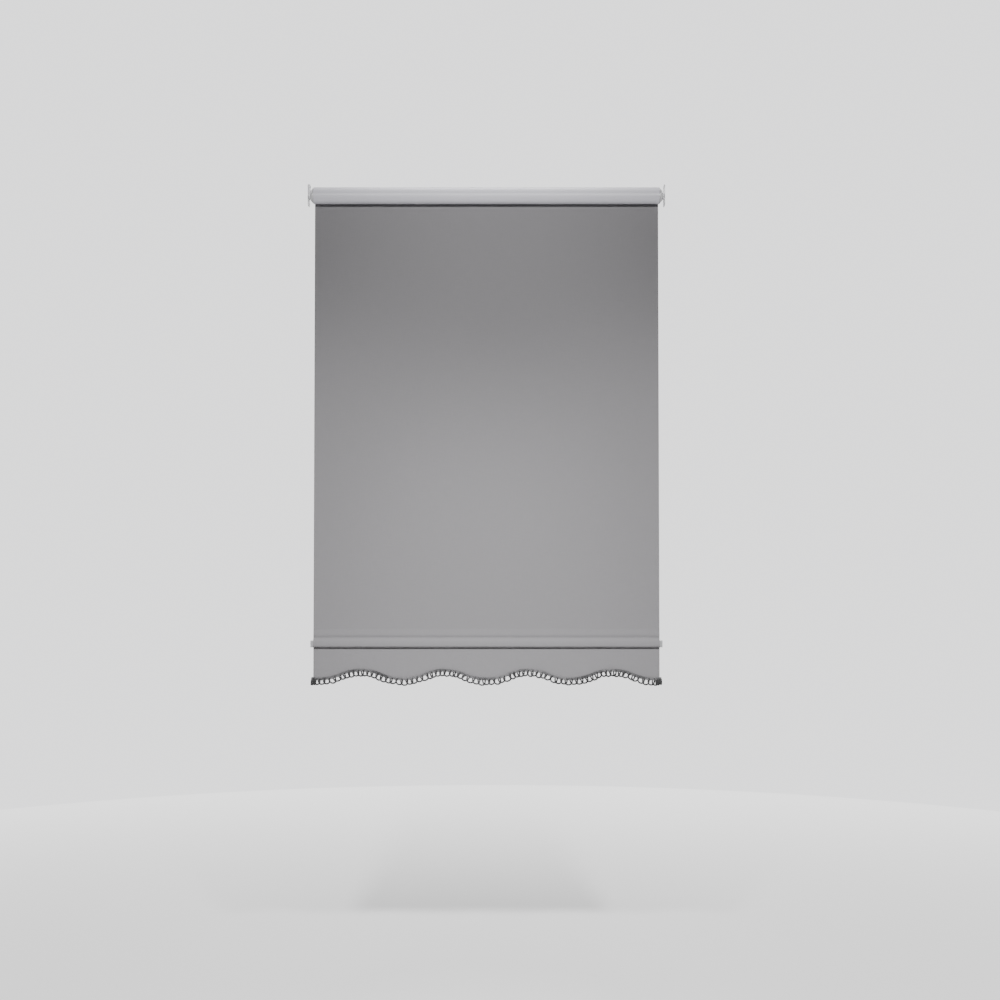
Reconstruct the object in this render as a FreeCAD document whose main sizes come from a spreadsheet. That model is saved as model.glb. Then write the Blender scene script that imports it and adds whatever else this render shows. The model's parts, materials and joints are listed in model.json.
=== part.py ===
"""A cordless spring roller blind for a window reveal, drawn as a parametric document.

Frame: the origin is on the roller's axis, midway between the jambs. +X points to the right jamb, +Z up
and -Y into the room. Lengths are in millimetres and angles in degrees.

Two pressed brackets are screwed to the jambs. The left one has a slot, open at its top, that holds the
flat blade of a fixed spear; the right one has a round hole for the roller's gudgeon pin. Inside the
roller's tube the spear carries a ratchet hub and a spindle, and the spring winds between that spindle and
a plug fixed in the tube. Two pawls on the tube's end catch the hub. The cloth leaves the back of the roll
and ends in a slat pocket, a scalloped skirt and a looped trim.
"""
import FreeCAD, Part
import Sketcher
import math
import os

Vector = FreeCAD.Vector
Rotation = FreeCAD.Rotation
Placement = FreeCAD.Placement

SIZES = [
    # the opening and the brackets
    ("opening_width", 914.0, "between the jambs, and the brackets' screwed faces"),
    ("bracket_height", 54.0, "pressed plate, along the jamb"),
    ("screw_edge", 5.5, "from a screw hole's centre to the plate's edge"),
    ("bracket_corner", 8.0, "radius of the plate's corners"),
    ("bracket_sheet", 1.5, "thickness of the pressed steel"),
    ("dish_depth", 4.8, "from the jamb to the room face of the raised dish"),
    ("dish_width", 18.0, "outside width of the raised dish"),
    ("dish_drop", 10.0, "from the roller's axis down to the bottom of the dish"),
    ("screw_offset", 4.5, "from the dish's side to a screw hole's centre"),
    ("screw_hole_radius", 2.1, "clearance for a 4 mm wood screw"),
    ("slot_clearance", 0.15, "each side of the spear's blade in the slot"),
    ("jamb_clearance", 1.5, "between a jamb and the spear or the pin"),
    # the roller's tube and the cloth on it
    ("cap_gap", 1.2, "between a bracket's dish and the roller's end"),
    ("flange_length", 7.0, "length of the roller's two coned ends"),
    ("flange_lip", 1.6, "those ends past the tube's outside"),
    ("face_radius", 13.0, "radius of those ends at the bracket"),
    ("tube_overhang", 1.0, "tube past each edge of the cloth"),
    ("tube_diameter", 38.0, "outside diameter of the steel tube"),
    ("tube_wall", 1.0, "wall of the steel tube"),
    ("strip_thickness", 0.15, "adhesive strip between the tube and the cloth"),
    ("strip_width", 12.0, "adhesive strip"),
    ("cloth_thickness", 0.35, "coated blind cloth"),
    ("rest_turns", 6.5, "turns of cloth on the tube at rest"),
    # the cloth's drop, the slat and the skirt
    ("drop_gap", 0.3, "between the roll and the hanging cloth"),
    ("hem_drop", 1141.0, "from the roller's axis down to the slat pocket"),
    ("slat_height", 16.0, "hem slat"),
    ("slat_thickness", 6.0, "hem slat"),
    ("slat_edge", 2.6, "rounding of the slat's long edges"),
    ("pocket_ease", 0.25, "between the slat and the pocket, all round"),
    ("pocket_corner", 3.2, "outside rounding of the pocket"),
    ("slat_cap_length", 7.0, "slat cap outside the pocket"),
    ("slat_cap_spigot", 12.0, "slat cap inside the pocket"),
    ("cap_edge", 1.0, "rounding of a slat cap's long edges"),
    ("seam_lap", 5.0, "height of the drop and the skirt sewn behind the pocket"),
    ("skirt_depth", 67.4, "from the pocket down to the middle of the trim's top line"),
    ("scallop_pitch", 214.5, "from one low point of the scallops to the next"),
    ("scallop_height", 22.5, "from the high to the low points of the scallops"),
    ("trim_header", 5.0, "height of the braid sewn on the skirt"),
    ("trim_height", 19.0, "braid and loops together"),
    ("trim_thickness", 2.0, "braid and loops"),
    ("trim_overhang", 5.0, "trim folded past each side of the skirt"),
    # the spear, its hub and the spindle
    ("blade_height", 9.0, "flat blade of the spear"),
    ("blade_thickness", 2.4, "flat blade of the spear"),
    ("blade_gap", 0.4, "from the end of the blade to the cover's face"),
    ("shank_radius", 3.25, "round shank of the spear"),
    ("running_clearance", 0.08, "radial clearance of each turning fit"),
    ("ring_lip", 1.75, "retaining ring past the shank"),
    ("ring_thickness", 1.2, "retaining ring"),
    ("ring_groove", 0.65, "depth of the ring's groove in the shank"),
    ("ring_gap", 0.6, "between the retaining ring and the cover's inner face"),
    ("lift_gap", 0.48, "between the ratchet hub and a lifted pawl"),
    ("hub_thickness", 3.4, "ratchet hub"),
    ("hub_offset", 2.0, "from the tube's end to the ratchet hub"),
    ("spindle_wall", 1.5, "spindle around the shank"),
    ("spindle_gap", 3.6, "between the pawl housing and the spindle"),
    ("shank_grip", 14.0, "length of the shank inside the spindle"),
    ("spindle_tail", 3.0, "spindle past the drive plug"),
    ("collar_lip", 1.7, "spring anchor collar past the coils"),
    ("collar_length", 10.0, "spring anchor collar"),
    ("collar_inset", 2.0, "from the spindle's end to the collar"),
    ("anchor_pin_radius", 1.5, "pin through collar, spindle and shank"),
    # the spring
    ("spring_gap", 2.45, "between the spindle and the coils"),
    ("wire_radius", 0.8, "spring wire"),
    ("spring_pitch", 3.4, "from one coil to the next"),
    ("spring_turns", 56.0, "coils"),
    ("coil_gap", 1.2, "from the middle of the end coil's wire to the collar or plug"),
    # the pawls and their housing
    ("cover_wall", 2.0, "end cover"),
    ("spigot_wall", 0.8, "end cover's spigot in the housing"),
    ("spigot_length", 1.6, "end cover's spigot in the housing"),
    ("housing_wall", 1.6, "pawl housing, against the tube"),
    ("housing_depth", 6.4, "room for the pawls"),
    ("housing_floor", 3.0, "pawl housing"),
    ("pawl_wall_gap", 0.6, "between a pawl's round end and the housing"),
    ("pawl_reach", 2.2, "from the tip of an engaged pawl to its line's nearest point to the axis"),
    ("pawl_half_width", 1.2, "half the width of a pawl's arm"),
    ("pawl_eye_radius", 2.6, "round end of a pawl, about its pin"),
    ("pawl_thickness", 2.4, "pawl"),
    ("pawl_side_gap", 0.3, "beside a pawl, at its pin's head and at its boss"),
    ("pawl_engaged_angle", 58.0, "a pawl's slope when it is in a notch"),
    ("pawl_swing", 22.0, "a pawl's travel into a notch"),
    ("notch_clearance", 0.15, "around a pawl in its notch"),
    ("pawl_pin_radius", 1.5, "pawl pin"),
    ("pin_head_radius", 2.4, "head of a pawl pin"),
    ("pin_head_thickness", 0.5, "head of a pawl pin"),
    # the drive plug and the plug with the gudgeon pin
    ("plug_length", 16.0, "spring drive plug"),
    ("bush_wall", 1.37, "spindle's bush"),
    ("bush_flange_lip", 1.6, "flange of the spindle's bush past its sleeve"),
    ("bush_flange_length", 1.5, "flange of the spindle's bush"),
    ("gudgeon_radius", 2.4, "gudgeon pin"),
    ("gudgeon_grip", 22.0, "gudgeon pin inside its plug"),
    ("end_plug_length", 18.0, "part of the pin end plug inside the tube"),
    ("end_plug_wall", 2.5, "part of the pin end plug inside the tube"),
    ("boss_wall", 3.6, "boss around the gudgeon pin"),
]

doc = FreeCAD.newDocument("RollerBlind")
sheet = doc.addObject("Spreadsheet::Sheet", "Sizes")
for row, (alias, number, note) in enumerate(SIZES, start=1):
    sheet.set(f"A{row}", alias)
    sheet.set(f"B{row}", str(number))
    sheet.setAlias(f"B{row}", alias)
    sheet.set(f"C{row}", note)
doc.recompute()

ALONG_X = Rotation(Vector(0, 1, 0), 90)
HALF_TURN_ABOUT_Z = Rotation(Vector(0, 0, 1), 180)
subparts = []


def of(text):
    """Turns {name} into a reference to the sheet's cell of that name."""
    return text.replace("{", "Sizes.").replace("}", "")


def size(text):
    """The number that an expression of the sheet's cells gives now."""
    answer = sheet.evalExpression(of(text))
    return float(getattr(answer, "Value", answer))


def bind(thing, **expressions):
    """Binds properties of a document object to expressions of the sheet's cells."""
    for name, text in expressions.items():
        thing.setExpression(name.replace("__", "."), of(text))


def kept(thing, label):
    """Names a finished sub-part and puts it on the list that is written out."""
    thing.Label = label
    subparts.append(thing)
    return thing


# Stations along X, from which every piece of the roller takes its place
LEFT_JAMB = "(-{opening_width} / 2)"
DISH_FACE = f"({LEFT_JAMB} + {{dish_depth}})"
COVER_FACE = f"({DISH_FACE} + {{cap_gap}})"
TUBE_END = f"({COVER_FACE} + {{flange_length}})"
HUB_START = f"({TUBE_END} + {{hub_offset}})"
FLOOR_START = f"({TUBE_END} + {{housing_depth}})"
FLOOR_END = f"({FLOOR_START} + {{housing_floor}})"
SPINDLE_START = f"({FLOOR_END} + {{spindle_gap}})"
SHANK_END = f"({SPINDLE_START} + {{shank_grip}})"
COLLAR_START = f"({SPINDLE_START} + {{collar_inset}})"
COLLAR_END = f"({COLLAR_START} + {{collar_length}})"
COILS_START = f"({COLLAR_END} + {{coil_gap}})"
COILS_LENGTH = "({spring_pitch} * {spring_turns})"
PLUG_START = f"({COILS_START} + {COILS_LENGTH} + {{coil_gap}})"
PLUG_END = f"({PLUG_START} + {{plug_length}})"
SPINDLE_END = f"({PLUG_END} + {{bush_flange_length}} + {{spindle_tail}})"
PAWL_START = f"({HUB_START} + ({{hub_thickness}} - {{pawl_thickness}}) / 2)"
PAWL_END = f"({PAWL_START} + {{pawl_thickness}})"

# Widths and radii that several pieces share
TUBE_LENGTH = f"(-2 * {TUBE_END})"
CLOTH_WIDTH = f"({TUBE_LENGTH} - 2 * {{tube_overhang}})"
TUBE_RADIUS = "({tube_diameter} / 2)"
TUBE_BORE = f"({TUBE_RADIUS} - {{tube_wall}})"
CLOTH_BORE = f"({TUBE_RADIUS} + {{strip_thickness}})"
ROLL_RADIUS = f"({CLOTH_BORE} + {{rest_turns}} * {{cloth_thickness}})"
FLANGE_RADIUS = f"({TUBE_RADIUS} + {{flange_lip}})"
SHANK_BORE = "({shank_radius} + {running_clearance})"
SPINDLE_RADIUS = "({shank_radius} + {spindle_wall})"
SPRING_RADIUS = f"({SPINDLE_RADIUS} + {{spring_gap}} + {{wire_radius}})"
COLLAR_RADIUS = f"({SPRING_RADIUS} + {{wire_radius}} + {{collar_lip}})"
BUSH_BORE = f"({SPINDLE_RADIUS} + {{running_clearance}})"
BUSH_RADIUS = f"({BUSH_BORE} + {{bush_wall}})"
HOUSING_BORE = f"({TUBE_BORE} - {{housing_wall}})"
PIVOT_RADIUS = f"({HOUSING_BORE} - {{pawl_wall_gap}} - {{pawl_eye_radius}})"
ENGAGED = "({pawl_engaged_angle} * 1 deg)"
LIFTED = "(({pawl_engaged_angle} - {pawl_swing}) * 1 deg)"
PAWL_LENGTH = f"({PIVOT_RADIUS} * sin{ENGAGED} - {{pawl_reach}})"
HUB_RADIUS = f"({PIVOT_RADIUS} * cos{LIFTED} - {{pawl_half_width}} - {{lift_gap}})"

# Places of the cloth and of what hangs from it
DROP_FRONT = f"({ROLL_RADIUS} + {{drop_gap}})"
POCKET_TOP = "(-{hem_drop})"
POCKET_WALL = "({cloth_thickness} + {pocket_ease})"
POCKET_HEIGHT = f"({{slat_height}} + 2 * {POCKET_WALL})"
POCKET_DEPTH = f"({{slat_thickness}} + 2 * {POCKET_WALL})"
POCKET_BOTTOM = f"({POCKET_TOP} - {POCKET_HEIGHT})"
POCKET_FRONT = f"({DROP_FRONT} - {POCKET_DEPTH})"


# Part primitives, with their sizes and places bound to the sheet


def box(name, start, sides):
    """A box from its lowest corner and its three sides."""
    thing = doc.addObject("Part::Box", name)
    bind(thing, Length=sides[0], Width=sides[1], Height=sides[2])
    bind(thing, Placement__Base__x=start[0], Placement__Base__y=start[1], Placement__Base__z=start[2])
    return thing


def rod(name, radius, start, length, y="0", z="0"):
    """A cylinder that starts at X = start and runs along +X."""
    thing = doc.addObject("Part::Cylinder", name)
    thing.Placement = Placement(Vector(), ALONG_X)
    bind(thing, Radius=radius, Height=length)
    bind(thing, Placement__Base__x=start, Placement__Base__y=y, Placement__Base__z=z)
    return thing


def cone(name, radius, end_radius, start, length):
    """A cone from radius at X = start to end_radius, along +X."""
    thing = doc.addObject("Part::Cone", name)
    thing.Placement = Placement(Vector(), ALONG_X)
    bind(thing, Radius1=radius, Radius2=end_radius, Height=length, Placement__Base__x=start)
    return thing


def cross_hole(name, radius, station, half_length):
    """A cylinder along Z through the roller's axis."""
    thing = doc.addObject("Part::Cylinder", name)
    bind(thing, Radius=radius, Height=f"2 * {half_length}")
    bind(thing, Placement__Base__x=station, Placement__Base__z=f"-{half_length}")
    return thing


def joined(name, pieces):
    """One solid of several primitives."""
    if len(pieces) == 1:
        return pieces[0]
    thing = doc.addObject("Part::MultiFuse", name)
    thing.Shapes = pieces
    thing.Refine = True
    return thing


def cut(name, solid, tools):
    """A solid less one or more tools."""
    thing = doc.addObject("Part::Cut", name)
    thing.Base = solid
    thing.Tool = joined(name + "_tools", tools)
    thing.Refine = True
    return thing


# PartDesign helpers: sketches whose points and radii are bound to the sheet


def new_body(label, turn=Rotation(), **place):
    """An empty body whose Placement's x, y and z are bound to the sheet."""
    body = doc.addObject("PartDesign::Body", label)
    body.Placement = Placement(Vector(), turn)
    for axis, text in place.items():
        body.setExpression(f"Placement.Base.{axis}", of(text))
    return body


def sketch_on(body, name, plane, offset="0"):
    """An empty sketch on one of the body's own origin planes, moved along that plane's normal."""
    sketch = body.newObject("Sketcher::SketchObject", name)
    support = [f for f in body.Origin.OriginFeatures if f.Role == plane][0]
    sketch.AttachmentSupport = [(support, "")]
    sketch.MapMode = "FlatFace"
    sketch.setExpression("AttachmentOffset.Base.z", of(offset))
    return sketch


def pin_point(sketch, shape, end, across, up):
    """Holds one point of a sketch at a distance across and up from the sketch's origin."""
    for kind, text in (("DistanceX", across), ("DistanceY", up)):
        index = sketch.addConstraint(Sketcher.Constraint(kind, -1, 1, shape, end, size(text)))
        sketch.setExpression(f"Constraints[{index}]", of(text))


def polygon(body, name, plane, corners, offset="0"):
    """A closed outline of straight lines through corners, each an (across, up) pair of expressions."""
    sketch = sketch_on(body, name, plane, offset)
    points = [Vector(size(across), size(up), 0) for across, up in corners]
    for first, second in zip(points, points[1:] + points[:1]):
        sketch.addGeometry(Part.LineSegment(first, second), False)
    count = len(points)
    for line in range(count):
        sketch.addConstraint(Sketcher.Constraint("Coincident", line, 2, (line + 1) % count, 1))
    for line, (across, up) in enumerate(corners):
        pin_point(sketch, line, 1, across, up)
    return sketch


def rectangle(body, name, plane, low, high, offset="0"):
    """A rectangle from its low corner to its high one."""
    corners = [low, (high[0], low[1]), high, (low[0], high[1])]
    return polygon(body, name, plane, corners, offset)


def circles(body, name, plane, rings, offset="0"):
    """One or more circles, each (across, up, radius)."""
    sketch = sketch_on(body, name, plane, offset)
    for index, (across, up, radius) in enumerate(rings):
        centre = Vector(size(across), size(up), 0)
        sketch.addGeometry(Part.Circle(centre, Vector(0, 0, 1), size(radius)), False)
        held = sketch.addConstraint(Sketcher.Constraint("Radius", index, size(radius)))
        sketch.setExpression(f"Constraints[{held}]", of(radius))
        pin_point(sketch, index, 3, across, up)
    return sketch


def pad(body, sketch, length):
    """Adds material along the sketch's normal."""
    feature = body.newObject("PartDesign::Pad", sketch.Name + "_pad")
    feature.Profile = sketch
    bind(feature, Length=length)
    doc.recompute()
    return feature


def pocket(body, sketch, length=None, forward=True):
    """Removes material along the sketch's normal or against it, or all through if there's no length."""
    before = body.Shape.Volume
    feature = body.newObject("PartDesign::Pocket", sketch.Name + "_pocket")
    feature.Profile = sketch
    feature.Reversed = forward
    if length is None:
        feature.Type = "ThroughAll"
        feature.Midplane = True
    else:
        bind(feature, Length=length)
    doc.recompute()
    if not body.Shape.Volume < before - 1e-6:
        raise RuntimeError(f"{feature.Name} cuts nothing")
    return feature


def rounded(body, name, edges, radius):
    """Rounds the edges of the body's last feature that the given test picks."""
    base = body.Tip
    picked = [f"Edge{i}" for i, edge in enumerate(base.Shape.Edges, start=1) if edges(edge)]
    if not picked:
        raise RuntimeError(f"{name} finds no edges")
    feature = body.newObject("PartDesign::Fillet", name)
    feature.Base = (base, picked)
    bind(feature, Radius=radius)
    doc.recompute()
    return feature


def flange_edges(edge):
    """Whether an edge is one of the long edges of a slat cap's flange, outside the pocket."""
    return runs_along_x(edge) and edge.BoundBox.XMax < 1e-6


def runs_along_x(edge):
    """Whether an edge is straight and parallel to X."""
    ends = [v.Point for v in edge.Vertexes]
    return len(ends) == 2 and abs(abs((ends[1] - ends[0]).normalize().x) - 1) < 1e-6


# The two brackets, each drawn with its jamb face at X = 0 and its dish towards +X

SCREW_SPACING = "({dish_width} + 2 * {screw_offset})"
PLATE_DEPTH = f"({SCREW_SPACING} + 2 * {{screw_edge}})"
PLATE_TOP = "({bracket_height} / 2)"
DISH_TOP = "({dish_width} - {dish_drop})"


def bracket(label, turn, station, dish_top):
    """A pressed plate with two screw holes and a dish, round or open at its top, hollow from behind."""
    body = new_body(label, turn, x=station)
    side = f"{PLATE_DEPTH} / 2"
    corners = (f"-{side}", f"-{PLATE_TOP}"), (side, PLATE_TOP)
    pad(body, rectangle(body, label + "_plate", "YZ_Plane", *corners), "{bracket_sheet}")
    rounded(body, label + "_corners", runs_along_x, "{bracket_corner}")
    centre = "({dish_width} / 2 - {dish_drop})"
    outer = "({dish_width} / 2)"
    inner = f"({outer} - {{bracket_sheet}})"
    raised = circles(body, label + "_dish_foot", "YZ_Plane", [("0", centre, outer)])
    pad(body, raised, "{dish_depth}")
    if dish_top != DISH_TOP:
        upright = rectangle(body, label + "_dish", "YZ_Plane", (f"-{outer}", centre), (outer, dish_top))
        pad(body, upright, "{dish_depth}")
    depth = "{dish_depth} - {bracket_sheet}"
    sunk = circles(body, label + "_hollow_foot", "YZ_Plane", [("0", centre, inner)])
    pocket(body, sunk, depth)
    if dish_top != DISH_TOP:
        sunk = rectangle(body, label + "_hollow", "YZ_Plane", (f"-{inner}", centre), (inner, dish_top))
        pocket(body, sunk, depth)
    rings = [(f"{sign}{SCREW_SPACING} / 2", "0", "{screw_hole_radius}") for sign in ("-", "")]
    pocket(body, circles(body, label + "_screws", "YZ_Plane", rings))
    return kept(body, label)


slot_bracket = bracket("slot_bracket", Rotation(), LEFT_JAMB, PLATE_TOP)
slot_side = "({blade_thickness} / 2 + {slot_clearance})"
slot_foot = "-({blade_height} / 2 + {slot_clearance})"
slot = rectangle(slot_bracket, "slot", "YZ_Plane", (f"-{slot_side}", slot_foot), (slot_side, PLATE_TOP))
pocket(slot_bracket, slot)

pin_bracket = bracket("pin_bracket", HALF_TURN_ABOUT_Z, "{opening_width} / 2", DISH_TOP)
pin_ring = ("0", "0", "{gudgeon_radius} + {running_clearance}")
pocket(pin_bracket, circles(pin_bracket, "pin_hole", "YZ_Plane", [pin_ring]))

# The fixed works: the spear, its ring and hub, the spindle and the spring's anchor

BLADE_START = f"({LEFT_JAMB} + {{jamb_clearance}})"
BLADE_END = f"({COVER_FACE} - {{blade_gap}})"
RING_START = f"({COVER_FACE} + {{cover_wall}} + {{ring_gap}})"
ANCHOR_STATION = f"({COLLAR_START} + {{collar_length}} / 2)"

blade = box(
    "spear_blade",
    (BLADE_START, "-{blade_thickness} / 2", "-{blade_height} / 2"),
    (f"{BLADE_END} - {BLADE_START}", "{blade_thickness}", "{blade_height}"),
)
shank = rod("spear_shank", "{shank_radius}", BLADE_END, f"{SHANK_END} - {BLADE_END}")
groove_outside = rod("spear_groove_outside", "{shank_radius} + 1", RING_START, "{ring_thickness}")
groove_inside = rod("spear_groove_inside", "{shank_radius} - {ring_groove}", RING_START, "{ring_thickness}")
groove = cut("spear_groove", groove_outside, [groove_inside])
anchor_hole = cross_hole("spear_anchor_hole", "{anchor_pin_radius}", ANCHOR_STATION, COLLAR_RADIUS)
kept(cut("spear", joined("spear_blank", [blade, shank]), [groove, anchor_hole]), "spear_shaft")

ring = rod("ring_outside", "{shank_radius} + {ring_lip}", RING_START, "{ring_thickness}")
ring_bore = rod("ring_bore", "{shank_radius} - {ring_groove}", RING_START, "{ring_thickness}")
ring_mouth = box(
    "ring_mouth",
    (RING_START, "-({shank_radius} - {ring_groove})", "0"),
    ("{ring_thickness}", "2 * ({shank_radius} - {ring_groove})", "{shank_radius} + {ring_lip}"),
)
kept(cut("ring", ring, [ring_bore, ring_mouth]), "retaining_ring")

# A notch's floor lies along an engaged pawl's inner side, and its stop face lies square to the pawl's tip
NOTCH_SIDE = "({pawl_half_width} + {notch_clearance})"
TIP_ACROSS = f"(-{PAWL_LENGTH} * cos{ENGAGED})"
TIP_UP = f"({PIVOT_RADIUS} - {PAWL_LENGTH} * sin{ENGAGED})"
ROOT_ACROSS = f"({TIP_ACROSS} - {NOTCH_SIDE} * cos{ENGAGED} + {NOTCH_SIDE} * sin{ENGAGED})"
ROOT_UP = f"({TIP_UP} - {NOTCH_SIDE} * sin{ENGAGED} - {NOTCH_SIDE} * cos{ENGAGED})"

hub = new_body("ratchet_hub", x=HUB_START)
pad(hub, circles(hub, "hub_disc", "YZ_Plane", [("0", "0", HUB_RADIUS)]), "{hub_thickness}")
pocket(hub, circles(hub, "hub_bore", "YZ_Plane", [("0", "0", "{shank_radius}")]))
notch_corners = [
    (ROOT_ACROSS, ROOT_UP),
    (f"{ROOT_ACROSS} + {HUB_RADIUS} * cos{ENGAGED}", f"{ROOT_UP} + {HUB_RADIUS} * sin{ENGAGED}"),
    (
        f"{ROOT_ACROSS} + {HUB_RADIUS} * (cos{ENGAGED} - sin{ENGAGED})",
        f"{ROOT_UP} + {HUB_RADIUS} * (sin{ENGAGED} + cos{ENGAGED})",
    ),
    (f"{ROOT_ACROSS} - {HUB_RADIUS} * sin{ENGAGED}", f"{ROOT_UP} + {HUB_RADIUS} * cos{ENGAGED}"),
]
notch = pocket(hub, polygon(hub, "hub_notch", "YZ_Plane", notch_corners))
notches = hub.newObject("PartDesign::PolarPattern", "hub_notches")
notches.Originals = [notch]
notches.Axis = ([f for f in hub.Origin.OriginFeatures if f.Role == "X_Axis"][0], [""])
notches.Angle = 360
notches.Occurrences = 2
hub.Tip = notches
doc.recompute()
kept(hub, "ratchet_hub")

spindle_rod = rod("spindle_outside", SPINDLE_RADIUS, SPINDLE_START, f"{SPINDLE_END} - {SPINDLE_START}")
socket = rod("spindle_socket", "{shank_radius}", SPINDLE_START, "{shank_grip}")
spindle_hole = cross_hole("spindle_anchor_hole", "{anchor_pin_radius}", ANCHOR_STATION, COLLAR_RADIUS)
kept(cut("spindle_cut", spindle_rod, [socket, spindle_hole]), "spindle")

collar = rod("collar_outside", COLLAR_RADIUS, COLLAR_START, "{collar_length}")
collar_bore = rod("collar_bore", SPINDLE_RADIUS, COLLAR_START, "{collar_length}")
collar_hole = cross_hole("collar_anchor_hole", "{anchor_pin_radius}", ANCHOR_STATION, COLLAR_RADIUS)
kept(cut("collar", collar, [collar_bore, collar_hole]), "spring_anchor_collar")
kept(cross_hole("anchor", "{anchor_pin_radius}", ANCHOR_STATION, COLLAR_RADIUS), "anchor_pin")

# The spring, wound about the spindle between the collar and the drive plug

coils = doc.addObject("Part::Helix", "spring_path")
coils.Style = 1
coils.Placement = Placement(Vector(), ALONG_X)
bind(coils, Pitch="{spring_pitch}", Height=COILS_LENGTH, Radius=SPRING_RADIUS)
bind(coils, Placement__Base__x=COILS_START)
doc.recompute()
wire = doc.addObject("Part::Circle", "spring_wire")
path = coils.Shape.Edges[0]
heading = path.tangentAt(path.FirstParameter)
wire.Placement = Placement(path.valueAt(path.FirstParameter), Rotation(Vector(0, 0, 1), heading))
bind(wire, Radius="{wire_radius}")
spring = doc.addObject("Part::Sweep", "spring")
spring.Sections = [wire]
spring.Spine = (coils, [])
spring.Solid = True
spring.Frenet = True
kept(spring, "torsion_spring")

# The roller's left end: the end cover, the pawl housing, its pins and the two pawls

cover_cone = cone("cover_cone", "{face_radius}", FLANGE_RADIUS, COVER_FACE, "{flange_length}")
cover_spigot = rod("cover_spigot", HOUSING_BORE, TUBE_END, "{spigot_length}")
SPIGOT_BORE = f"({HOUSING_BORE} - {{spigot_wall}})"
INSIDE_START = f"({COVER_FACE} + {{cover_wall}})"
cover_hollow = cone(
    "cover_hollow",
    "{face_radius} - {cover_wall}",
    SPIGOT_BORE,
    INSIDE_START,
    "{flange_length} - {cover_wall}",
)
spigot_hollow = rod("spigot_hollow", SPIGOT_BORE, TUBE_END, "{spigot_length}")
cover_bore = rod("cover_bore", SHANK_BORE, COVER_FACE, "{flange_length}")
cover_blank = joined("cover_blank", [cover_cone, cover_spigot])
kept(cut("cover", cover_blank, [cover_hollow, spigot_hollow, cover_bore]), "end_cover")

BOSS_START = f"({PAWL_END} + {{pawl_side_gap}})"
PAWL_PINS = (("upper", PIVOT_RADIUS), ("lower", f"-{PIVOT_RADIUS}"))
housing_cup = rod("housing_cup", TUBE_BORE, TUBE_END, "{housing_depth} + {housing_floor}")
housing_room = rod("housing_room", HOUSING_BORE, TUBE_END, "{housing_depth}")
housing_shell = cut("housing_shell", housing_cup, [housing_room])
bosses = [
    rod(f"{where}_boss", "{pawl_eye_radius}", BOSS_START, f"{FLOOR_START} - {BOSS_START}", z=up)
    for where, up in PAWL_PINS
]
pin_holes = [
    rod(f"{where}_pin_hole", "{pawl_pin_radius}", TUBE_END, f"{FLOOR_END} - {TUBE_END}", z=up)
    for where, up in PAWL_PINS
]
floor_bore = rod("floor_bore", SHANK_BORE, TUBE_END, "{housing_depth} + {housing_floor}")
housing_blank = joined("housing_blank", [housing_shell, *bosses])
kept(cut("housing", housing_blank, [floor_bore, *pin_holes]), "pawl_housing")

HEAD_END = f"({PAWL_START} - {{pawl_side_gap}})"
HEAD_START = f"({HEAD_END} - {{pin_head_thickness}})"
for where, up in PAWL_PINS:
    head = rod(f"{where}_head", "{pin_head_radius}", HEAD_START, "{pin_head_thickness}", z=up)
    stem = rod(f"{where}_stem", "{pawl_pin_radius}", HEAD_START, f"{FLOOR_END} - {HEAD_START}", z=up)
    kept(joined(f"{where}_rivet", [head, stem]), f"{where}_pawl_pin")


def pawl(label, pivot, facing):
    """A pawl about its own pin, its arm along +Y, turned about X so that it is lifted clear of the hub."""
    turn = Rotation(Vector(1, 0, 0), facing + size("{pawl_engaged_angle} - {pawl_swing}"))
    body = new_body(label, turn, x=PAWL_START, z=pivot)
    width = "{pawl_half_width}"
    eye = circles(body, label + "_eye", "YZ_Plane", [("0", "0", "{pawl_eye_radius}")])
    pad(body, eye, "{pawl_thickness}")
    arm = rectangle(body, label + "_arm", "YZ_Plane", ("0", f"-{width}"), (PAWL_LENGTH, width))
    pad(body, arm, "{pawl_thickness}")
    tip = circles(body, label + "_tip", "YZ_Plane", [(PAWL_LENGTH, "0", width)])
    pad(body, tip, "{pawl_thickness}")
    hole = "{pawl_pin_radius} + {running_clearance}"
    pocket(body, circles(body, label + "_hole", "YZ_Plane", [("0", "0", hole)]))
    kept(body, label)


pawl("upper_pawl", PIVOT_RADIUS, 180)
pawl("lower_pawl", f"-{PIVOT_RADIUS}", 0)

# The rest of the roller: the drive plug and its bush, the tube, the pin end and the wound cloth

plug = rod("plug_outside", TUBE_BORE, PLUG_START, "{plug_length}")
plug_bore = rod("plug_bore", BUSH_RADIUS, PLUG_START, "{plug_length}")
kept(cut("plug", plug, [plug_bore]), "spring_drive_plug")

bush_sleeve = rod("bush_sleeve", BUSH_RADIUS, PLUG_START, "{plug_length}")
bush_flange = rod("bush_flange", f"{BUSH_RADIUS} + {{bush_flange_lip}}", PLUG_END, "{bush_flange_length}")
bush_bore = rod("bush_bore", BUSH_BORE, PLUG_START, "{plug_length} + {bush_flange_length}")
kept(cut("bush", joined("bush_blank", [bush_sleeve, bush_flange]), [bush_bore]), "spindle_bush")

tube = rod("tube_outside", TUBE_RADIUS, TUBE_END, TUBE_LENGTH)
tube_bore = rod("tube_bore", TUBE_BORE, TUBE_END, TUBE_LENGTH)
kept(cut("tube", tube, [tube_bore]), "roller_tube")

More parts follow.
